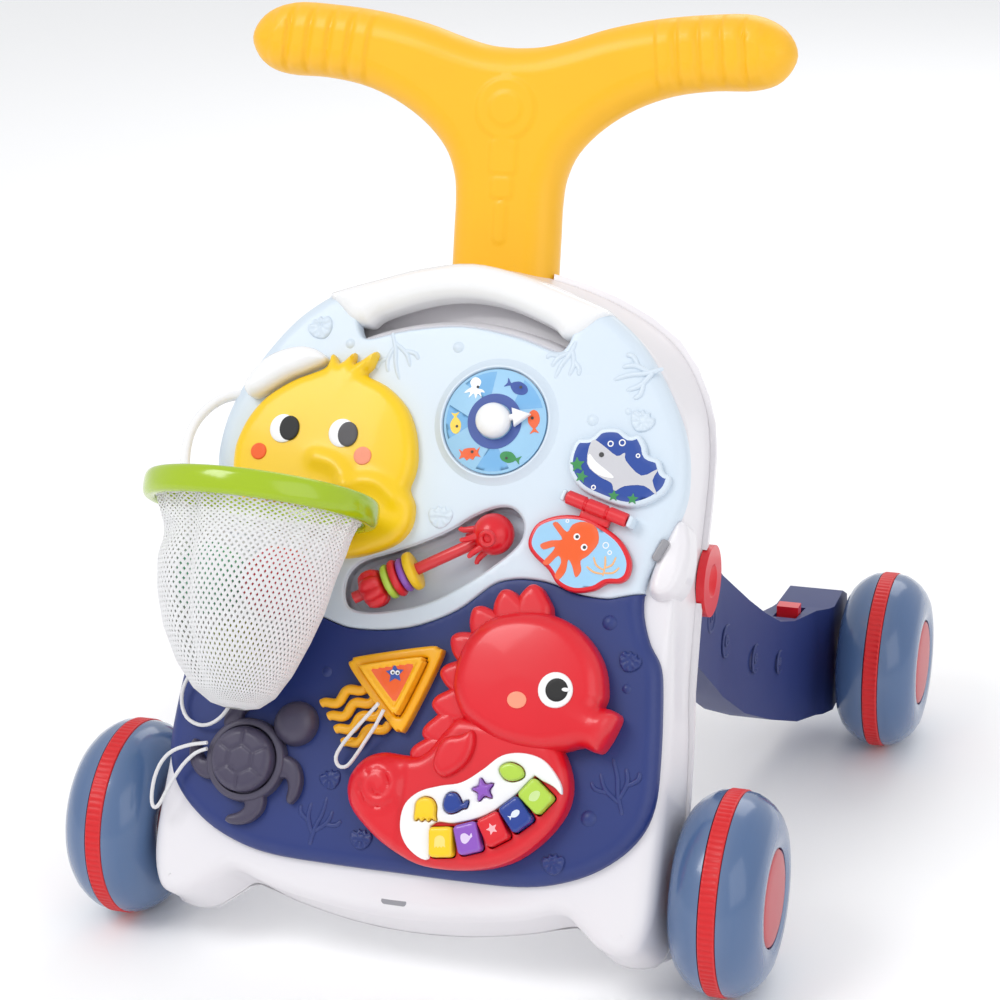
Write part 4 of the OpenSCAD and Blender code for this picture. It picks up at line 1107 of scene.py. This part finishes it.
for i, (u, v, s, turn) in enumerate(WEEDS):
    printed(f"shark_weed_{i}", "frame", PRINT_GREEN, curved(turned(STAR, u, v, s, turn), 3), 3.72)

FLAP_HINGE, FLAP_TURN = (86, 270), -16.4
FLAP = [
    (52, 254), (56, 261), (67, 265.5), (80, 265.5), (91, 261), (100, 255), (106, 246), (106, 238),
    (102, 234), (95, 233), (89, 229), (79, 227), (70, 230), (64, 237), (56, 243), (52, 248)]
flap = curved(FLAP, 4)
stand_in(moulded("flap_plate", "flap", RED, flap, top=4.6, base=0.7, radius=1.3, step=1.6),
         "octopus_flap")
printed("flap_picture", "flap", SKY, shrunk(flap, 2.2), 4.55)
BIG_OCTOPUS = [
    (80, 263), (86.5, 260.5), (88.5, 253), (84, 246), (80.5, 243), (81.5, 238), (79, 234.5), (76.5, 240),
    (74, 243), (73.5, 237), (70.5, 232.5), (68, 234.5), (70.5, 241), (68.5, 244.5), (64, 239.5),
    (61, 240.5), (65, 246), (66, 249), (60.5, 247), (58.5, 249.5), (64, 252), (69.5, 253), (66, 257.5),
    (63.5, 260.5), (66, 261.5), (71.5, 257), (74, 261)]
printed("flap_octopus", "flap", DEEP_ORANGE, curved(BIG_OCTOPUS, 3), 4.72)
for i, (u, v) in enumerate([(77, 255), (81.5, 250)]):
    printed(f"flap_eye_white_{i}", "flap", SILK, ellipse(u, v, 1.7), 4.9)
    printed(f"flap_eye_{i}", "flap", BLACK, ellipse(u + 0.2, v, 0.9), 5.05)
for i, (u, v, r) in enumerate([(71, 262.6, 1), (92.5, 252, 1.7), (95, 248.5, 1.2)]):
    ring = [(r, 4.4), (r, 4.85), (r - 0.5, 4.85), (r - 0.5, 4.4)]
    lathed(f"flap_bubble_{i}", "flap", SILK, ring, at(u, v), axis, 20)
TWIGS = [[(0, 0), (0.5, 5), (0, 10)], [(0, 3), (-4, 5), (-6, 9)], [(0.5, 4), (4, 6), (5.5, 10)],
         [(0, 1), (-5, 1.5), (-9, 4)], [(0.5, 1.5), (5, 2), (8, 5)]]
for i, stem in enumerate(TWIGS):
    flat = turned(stem, 93, 236.5)
    worm(f"flap_coral_{i}", "flap", TAN, np.column_stack([flat, np.full(3, 4.6)]), 0.55, ends=0.6)
bar = JOINTS["flap_turn"]
bar_profile = [(0, -17)]
for a, b in ((-17, -6.4), (-5.6, 5.6), (6.4, 17)):
    bar_profile += [(3.0, a), (3.6, a + 0.6), (3.6, b - 0.6), (3.0, b)]
bar_profile += [(0, 17)]
lathed("flap_bar", "flap", RED, bar_profile, bar["pos_m"], bar["axis"], 32)
neck = turned([(-8, -7), (8, -7), (8, 1), (-8, 1)], *FLAP_HINGE, 1, FLAP_TURN)
moulded("flap_neck", "flap", RED, neck, top=4.4, base=1, radius=0.6, step=1.5)
for i, s in enumerate((-1, 1)):
    post = turned(rounded_box(s * 18.8, 0, 2.4, 6, 1), *FLAP_HINGE, 1, FLAP_TURN)
    moulded(f"flap_post_{i}", "frame", PALE, post, top=8.4, base=SUNK, radius=0.8, step=1)


# ---------------------------------------------------------------- bead rail
RAIL = (-30, 219, -2)
slide = JOINTS["beads_slide"]
rail_axis = Vector(slide["axis"])
rail_start = at(*RAIL)
rod = [(0, -11), (3.1, -11), (3.1, 80), (0, 80)]
stand_in(lathed("rail_rod", "frame", RED, rod, rail_start, rail_axis, 32), "bead_rail")
flower = [(0, -6), (6, -5.6), (9, -4.2), (10.4, -1.6), (10.6, 1), (10.2, 3.6), (8.6, 6), (5.6, 7), (0, 7.2)]


def lobes(i, j, r, x):
    return -1.7 * (r / 10.6) ** 2 * (0.5 - 0.5 * math.cos(2 * math.pi * i / 12)) ** 1.5


lathed("rail_flower", "frame", RED, flower, rail_start, rail_axis, 96, lobes, closed=False)
head = [(0, 81)] + [(10.8 * math.sin(math.radians(a)), 70 - 10.8 * math.cos(math.radians(a)))
                    for a in range(172, 20, -8)] + [(3.4, 60), (3.4, 57), (0, 57)]
lathed("rail_octopus", "frame", RED, head, rail_start, rail_axis, 48, closed=False)
for i in range(6):
    t = math.radians(60 * i + 20)
    side = Vector(panel.v) * math.cos(t) + Vector(panel.n) * math.sin(t)
    side = (side - rail_axis * side.dot(rail_axis)).normalized()
    line = [rail_start + rail_axis * x * MM + side * r * MM
            for x, r in ((64, 6), (60, 7.2), (57, 8.4), (55.6, 9.6), (55.4, 10.4))]
    tube(f"rail_arm_{i}", "frame", RED, line, 2.0, lambda t: 1 - 0.45 * t)
snout = Vector(panel.n) * 0.93 - Vector(panel.v) * 0.36
mouth = [(2.2, 10.2), (2.2, 11.6), (3, 12.3), (4, 12), (4.6, 10.8), (4.6, 9)]
lathed("rail_octopus_mouth", "frame", RED, mouth, rail_start + rail_axis * 70 * MM, snout, 32)
for i, (x, w, r, material) in enumerate([(8, 4, 9.4, KEY_LIME), (12.4, 4, 10, RED), (16.8, 4, 9.2, PURPLE),
                                         (21.2, 4.6, 10.4, DUCK)]):
    ring = [(3.3, x), (r - 1.6, x), (r - 0.5, x + 0.5), (r, x + 1.5), (r, x + w - 1.5),
            (r - 0.5, x + w - 0.5), (r - 1.6, x + w), (3.3, x + w)]
    piece = lathed(f"ring_bead_{i}", "beads", material, ring, rail_start, rail_axis, 64)
    if i == 0:
        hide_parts("ring_beads")


# ---------------------------------------------------------------- seahorse keyboard
HEAD = [
    (24, 173), (25, 188), (30, 200), (39, 209), (53, 214), (68, 214.5), (82, 210), (93, 201), (100, 190),
    (103, 177), (102, 171), (107, 170), (111.5, 167), (110, 160), (107, 153), (103, 148), (94, 150),
    (85, 147), (75, 145), (62, 145.5), (50, 148), (39, 153), (30, 160)]
BODY = [
    (29, 158), (22, 150), (16, 141), (10, 136.5), (3, 136), (-9, 136), (-19, 131), (-25, 120), (-22, 107),
    (-9, 95), (5, 87), (21, 82), (44, 83), (64, 89), (79, 101), (89, 116), (91, 130), (86, 144), (78, 152),
    (60, 156), (44, 158)]
KEYS = [(31, 95, 8), (44.5, 98.5, 20), (57, 104.5, 33), (67.5, 113, 42), (76.5, 123, 52)]
KEY_W, KEY_L = 12.4, 15


def seahorse_form(p, depth):
    """The tail's spiral groove."""
    x, y = p[:, 0] + 7, p[:, 1] - 119
    r, a = np.hypot(x, y), np.arctan2(y, x)
    turn = (r / 6.5 - a / (2 * math.pi) + 0.1) % 1
    groove = np.exp(-((np.minimum(turn, 1 - turn)) / 0.1) ** 2) * ramp(-r, -13, -11) * ramp(r, 2, 4)
    rise = 2.2 * ramp(-r, -15, -8)
    return 1.2 * (1 - np.exp(-depth / 10)) + rise - 1.5 * groove


def sea_body(p, depth):
    return np.minimum(seahorse_form(p, depth), np.where(p[:, 0] > 6, 0.0, 9))


key_holes = [rounded_box(x, y, KEY_W + 1, KEY_L + 1, 2, turn) for x, y, turn in KEYS]
stand_in(moulded("seahorse_belly", "frame", RED, curved(BODY, 4), key_holes, top=12.8, base=SUNK, radius=0.5,
                 step=1.8, form=lambda p, d: sea_body(p, d) - rounding(away(p, curved(BODY, 4)), 6.5)),
         "seahorse_body")
moulded("seahorse_head", "frame", RED, curved(HEAD, 4), top=15.5, base=SUNK, radius=8, step=1.8,
                form=lambda p, d: 3.2 * (1 - np.exp(-d / 12)) + 2.2 * np.exp(-(((p[:, 0] - 106) / 5) ** 2
                                                                           + ((p[:, 1] - 160) / 9) ** 2)))
TIPS = [
    (58, 225, 100), (44, 221, 118), (31, 211, 135), (22, 196, 158), (19, 179, 178), (17, 163, 186),
    (14, 148, 200), (9, 137, 190)]
SPIKE = [(3.6, -1), (2.6, 2.4), (-2, 6.8), (-9, 9), (-15, 7), (-15, -7), (-9, -9), (-4, -7.2), (1.4, -4.4)]
for i, (u, v, turn) in enumerate(TIPS):
    outline = curved(turned(SPIKE, u, v, 1.05, turn), 4)
    moulded(f"seahorse_spike_{i}", "frame", RED, outline, top=9.5, base=SUNK, radius=4, step=1.4)
FIN = [(39, 152), (33, 149), (26, 147), (22, 141), (21, 132), (26, 127), (33, 130), (39, 137), (41, 146)]
moulded("seahorse_fin", "frame", RED, curved(FIN, 4), top=17.2, base=10, radius=3.4, step=1.4)
spot("seahorse_eye", SILK, "frame", 80, 176, 9, 9, 19.2, crown=1)
spot("seahorse_pupil", BLACK, "frame", 81, 176, 6, 6, 19.6, crown=0.8)
spot("seahorse_glint", SILK, "frame", 85.6, 176.6, 2.0, 1.0, 19.9, crown=0.2)
spot("seahorse_cheek", PINK, "frame", 61, 169, 5, 4.2, 18.9, crown=0.3)

BLOB = [
    (-0.9, -0.2), (-0.8, 0.6), (-0.2, 1), (0.5, 0.9), (0.9, 0.3), (0.9, -0.5), (1, -0.95), (0.55, -0.75),
    (0.3, -1), (0, -0.75), (-0.3, -1), (-0.55, -0.75), (-0.9, -0.95)]
WHALE = [
    (-1, 0.1), (-0.8, 0.7), (-0.2, 0.85), (0.3, 0.5), (0.6, 0.2), (1, 0.6), (1.05, 0), (0.7, -0.2),
    (0.3, -0.6), (-0.3, -0.9), (-0.85, -0.6)]
SHELL = [
    (-1.1, 0.1), (-0.7, 0.6), (0, 0.75), (0.8, 0.45), (1.1, -0.1), (0.8, -0.5), (0.1, -0.75), (-0.6, -0.6)]
CRESCENT = [
    (25, 86), (15, 89), (8.5, 98), (8.5, 110), (15, 118), (26, 122.5), (37, 125.5), (47, 133), (56, 141),
    (67, 143.5), (78, 141), (87, 132), (89, 125.5), (84, 129), (75, 131), (68, 125), (58, 115), (48, 109),
    (36, 105), (25, 103)]
BUTTONS = [(20.5, 110), (35.5, 114.5), (49, 123), (62.5, 133.5)]


def clear_of_keys(outline):
    """Pulls an outline's points out of the keys' spaces."""
    out = []
    for p in outline:
        for x, y, turn in KEYS:
            c, s = math.cos(math.radians(turn)), math.sin(math.radians(turn))
            a, b = (p[0] - x) * c + (p[1] - y) * s, -(p[0] - x) * s + (p[1] - y) * c
            if abs(a) < KEY_W / 2 + 0.7 and abs(b) < KEY_L / 2 + 0.7:
                b = KEY_L / 2 + 0.7 if b > 0 else b
                p = np.array([x + a * c - b * s, y + a * s + b * c])
        out.append(p)
    return np.array(out)


crescent = clear_of_keys(curved(CRESCENT, 5))
button_shapes = []
for (u, v), shape, turn in zip(BUTTONS, (BLOB, WHALE, STAR, SHELL), (5, -10, 20, 0)):
    button = curved(turned(shape, u, v, 5.9, turn), 3)
    button_shapes.append((shrunk(button, -0.5), button))
stand_in(moulded("key_plate_face", "frame", SILK, crescent, [b[0] for b in button_shapes], top=15.4,
                 base=12.6, radius=0.8, step=1.6), "key_plate")
marks = [plastic(f"key_print_{i}", rgb, 0.5, coat=0.05) for i, rgb in enumerate(
    [(255, 226, 120), (226, 206, 240), (250, 180, 186), (226, 234, 246), (206, 232, 150)])]
for i, ((x, y, turn), material, slot) in enumerate(zip(
        KEYS, (DUCK, PURPLE, RED, BLUE, KEY_LIME),
        ("yellow_plastic", "purple_plastic", "red_plastic", "blue_plastic", "lime_plastic"))):
    body = f"key_{i + 1}"
    stand_in(moulded(f"key_cap_{i + 1}", body, material, rounded_box(x, y, KEY_W, KEY_L, 2.4, turn), top=18.4,
                     base=11, radius=1.8, step=1.2), body)
    mark = curved(turned((BLOB, WHALE, STAR, FISH, SHELL)[i], x, y, 3, turn), 3)
    printed(f"key_mark_{i + 1}", body, marks[i], mark, 18.3)
for i, ((_, button), material, slot) in enumerate(zip(
        button_shapes, (DUCK, BLUE, PURPLE, KEY_LIME),
        ("yellow_plastic", "blue_plastic", "purple_plastic", "lime_plastic"))):
    body = f"button_{i + 1}"
    stand_in(moulded(f"button_cap_{i + 1}", body, material, button, top=17.6,
                     base=11, radius=1.5, step=1.0), body)


# ---------------------------------------------------------------- turtle and jellyfish
TURTLE_AT = (-84, 124)
turtle_centre = at(*TURTLE_AT)
collar = [(17.5, -0.8), (17.5, 5.2), (18, 6), (19.6, 6.2), (21, 5.4), (21.6, 3.6), (21.8, -0.8)]
stand_in(lathed("turtle_collar", "frame", TURTLE, collar, turtle_centre, axis, 80),
         "turtle_base")
PADDLE = [
    (15, 6), (21, 8.5), (28, 6), (32.5, -1), (33, -9), (30.5, -14.5), (27.5, -13), (26.5, -7), (23, -3),
    (15, -8)]
for i, (turn, size) in enumerate([(112, 0.95), (192, 0.95), (284, 0.98), (350, 1)]):
    moulded(f"turtle_flipper_{i}", "frame", TURTLE, curved(turned(PADDLE, *TURTLE_AT, size, turn), 4),
                    top=4.6, base=SUNK, radius=2.6, step=1.5)
moulded("turtle_head", "frame", TURTLE, ellipse(-60, 145.5, 12, 11.4, 40, 40), top=10, base=SUNK,
                radius=9, step=1.4)


def shell_form(p, depth):
    """Hexagon scutes: grooves between six outer plates and one in the middle."""
    x, y = p[:, 0] - TURTLE_AT[0], p[:, 1] - TURTLE_AT[1]
    r, a = np.hypot(x, y), np.arctan2(y, x)
    sector = (a + math.pi / 6) % (math.pi / 3) - math.pi / 6
    hexagon = np.abs(r * np.cos(sector) - 6.6)
    spoke_angle = (a % (math.pi / 3)) - math.pi / 6
    spoke = np.where(r * np.cos(sector) > 6.6, np.abs(r * np.sin(spoke_angle)), 9)
    line = np.minimum(hexagon, spoke)
    return 0.7 * (1 - (r / 17) ** 2) - 0.8 * np.exp(-(line / 0.75) ** 2) * ramp(depth, 0.5, 2.5)


stand_in(moulded("turtle_shell", "turtle", TURTLE, ellipse(*TURTLE_AT, 16.9, count=64), top=12, base=2.5,
                 radius=4, step=0.9, form=shell_form), "turtle_plug")

JELLY = [
    (-33, 176), (-33, 181), (-29, 183.5), (6, 192), (12, 191.5), (14, 187), (1, 151), (-3, 148),
    (-7.5, 150)]
JELLY_HOLE = [
    (-26.5, 176.5), (-25, 179), (4, 186), (7, 184.5), (7, 181.5), (-2, 157), (-4.5, 155.5), (-7, 156.5)]
jelly = curved(JELLY, 5)
stand_in(moulded("jelly_rim", "frame", ORANGE, jelly, [curved(JELLY_HOLE, 5)], top=6.4, base=SUNK, radius=1.8,
                 step=1.2), "jelly_base")
JELLY_MID = np.array([-7.2, 174.5])
ARM_TURN, ARM_LEN, ARM_WAVE, WAVE_RATE = math.radians(212), 27, 1.8, 24
for i in range(4):
    start = np.array([-24 + i * 4.8, 170 - i * 6.2])
    c, s = math.cos(ARM_TURN), math.sin(ARM_TURN)
    line = []
    for x in np.linspace(0, ARM_LEN, 14):
        side = ARM_WAVE * math.sin(math.radians(x * WAVE_RATE))
        line.append((start[0] + x * c - side * s, start[1] + x * s + side * c, 1.6))
    worm(f"jelly_arm_{i}", "frame", ORANGE, line, 2.7, ends=0.8, k=3)
plug = JELLY_MID + (curved(JELLY_HOLE, 5) - JELLY_MID) * 0.955
stand_in(moulded("jelly_block", "jelly", ORANGE, plug, top=12.2, base=2.5, radius=1, step=1,
                 form=lambda p, d: -1.2 * ramp(d, 2.4, 3.0)), "jelly_plug")
picture = JELLY_MID + (plug - JELLY_MID) * 0.66
printed("jelly_picture", "jelly", DEEP_ORANGE, picture, 11.0)
printed("jelly_star", "jelly", PRINT_BLUE, turned(STAR, -7, 176, 5, 10), 11.2)
for i, u in enumerate((-8.2, -5.6)):
    printed(f"jelly_eye_white_{i}", "jelly", SILK, ellipse(u, 176.5, 1.2, count=14), 11.3)
    printed(f"jelly_eye_{i}", "jelly", BLACK, ellipse(u + 0.2, 176.3, 0.6, count=10), 11.4)

# ---------------------------------------------------------------- hidden and small CAD pieces
for node, material in [("panel_back", WHITE), ("battery_door", WHITE), ("batteries", BRASS),
                       ("circuit_board", BOARD), ("speaker", DARK)]:
    painted(node, material)
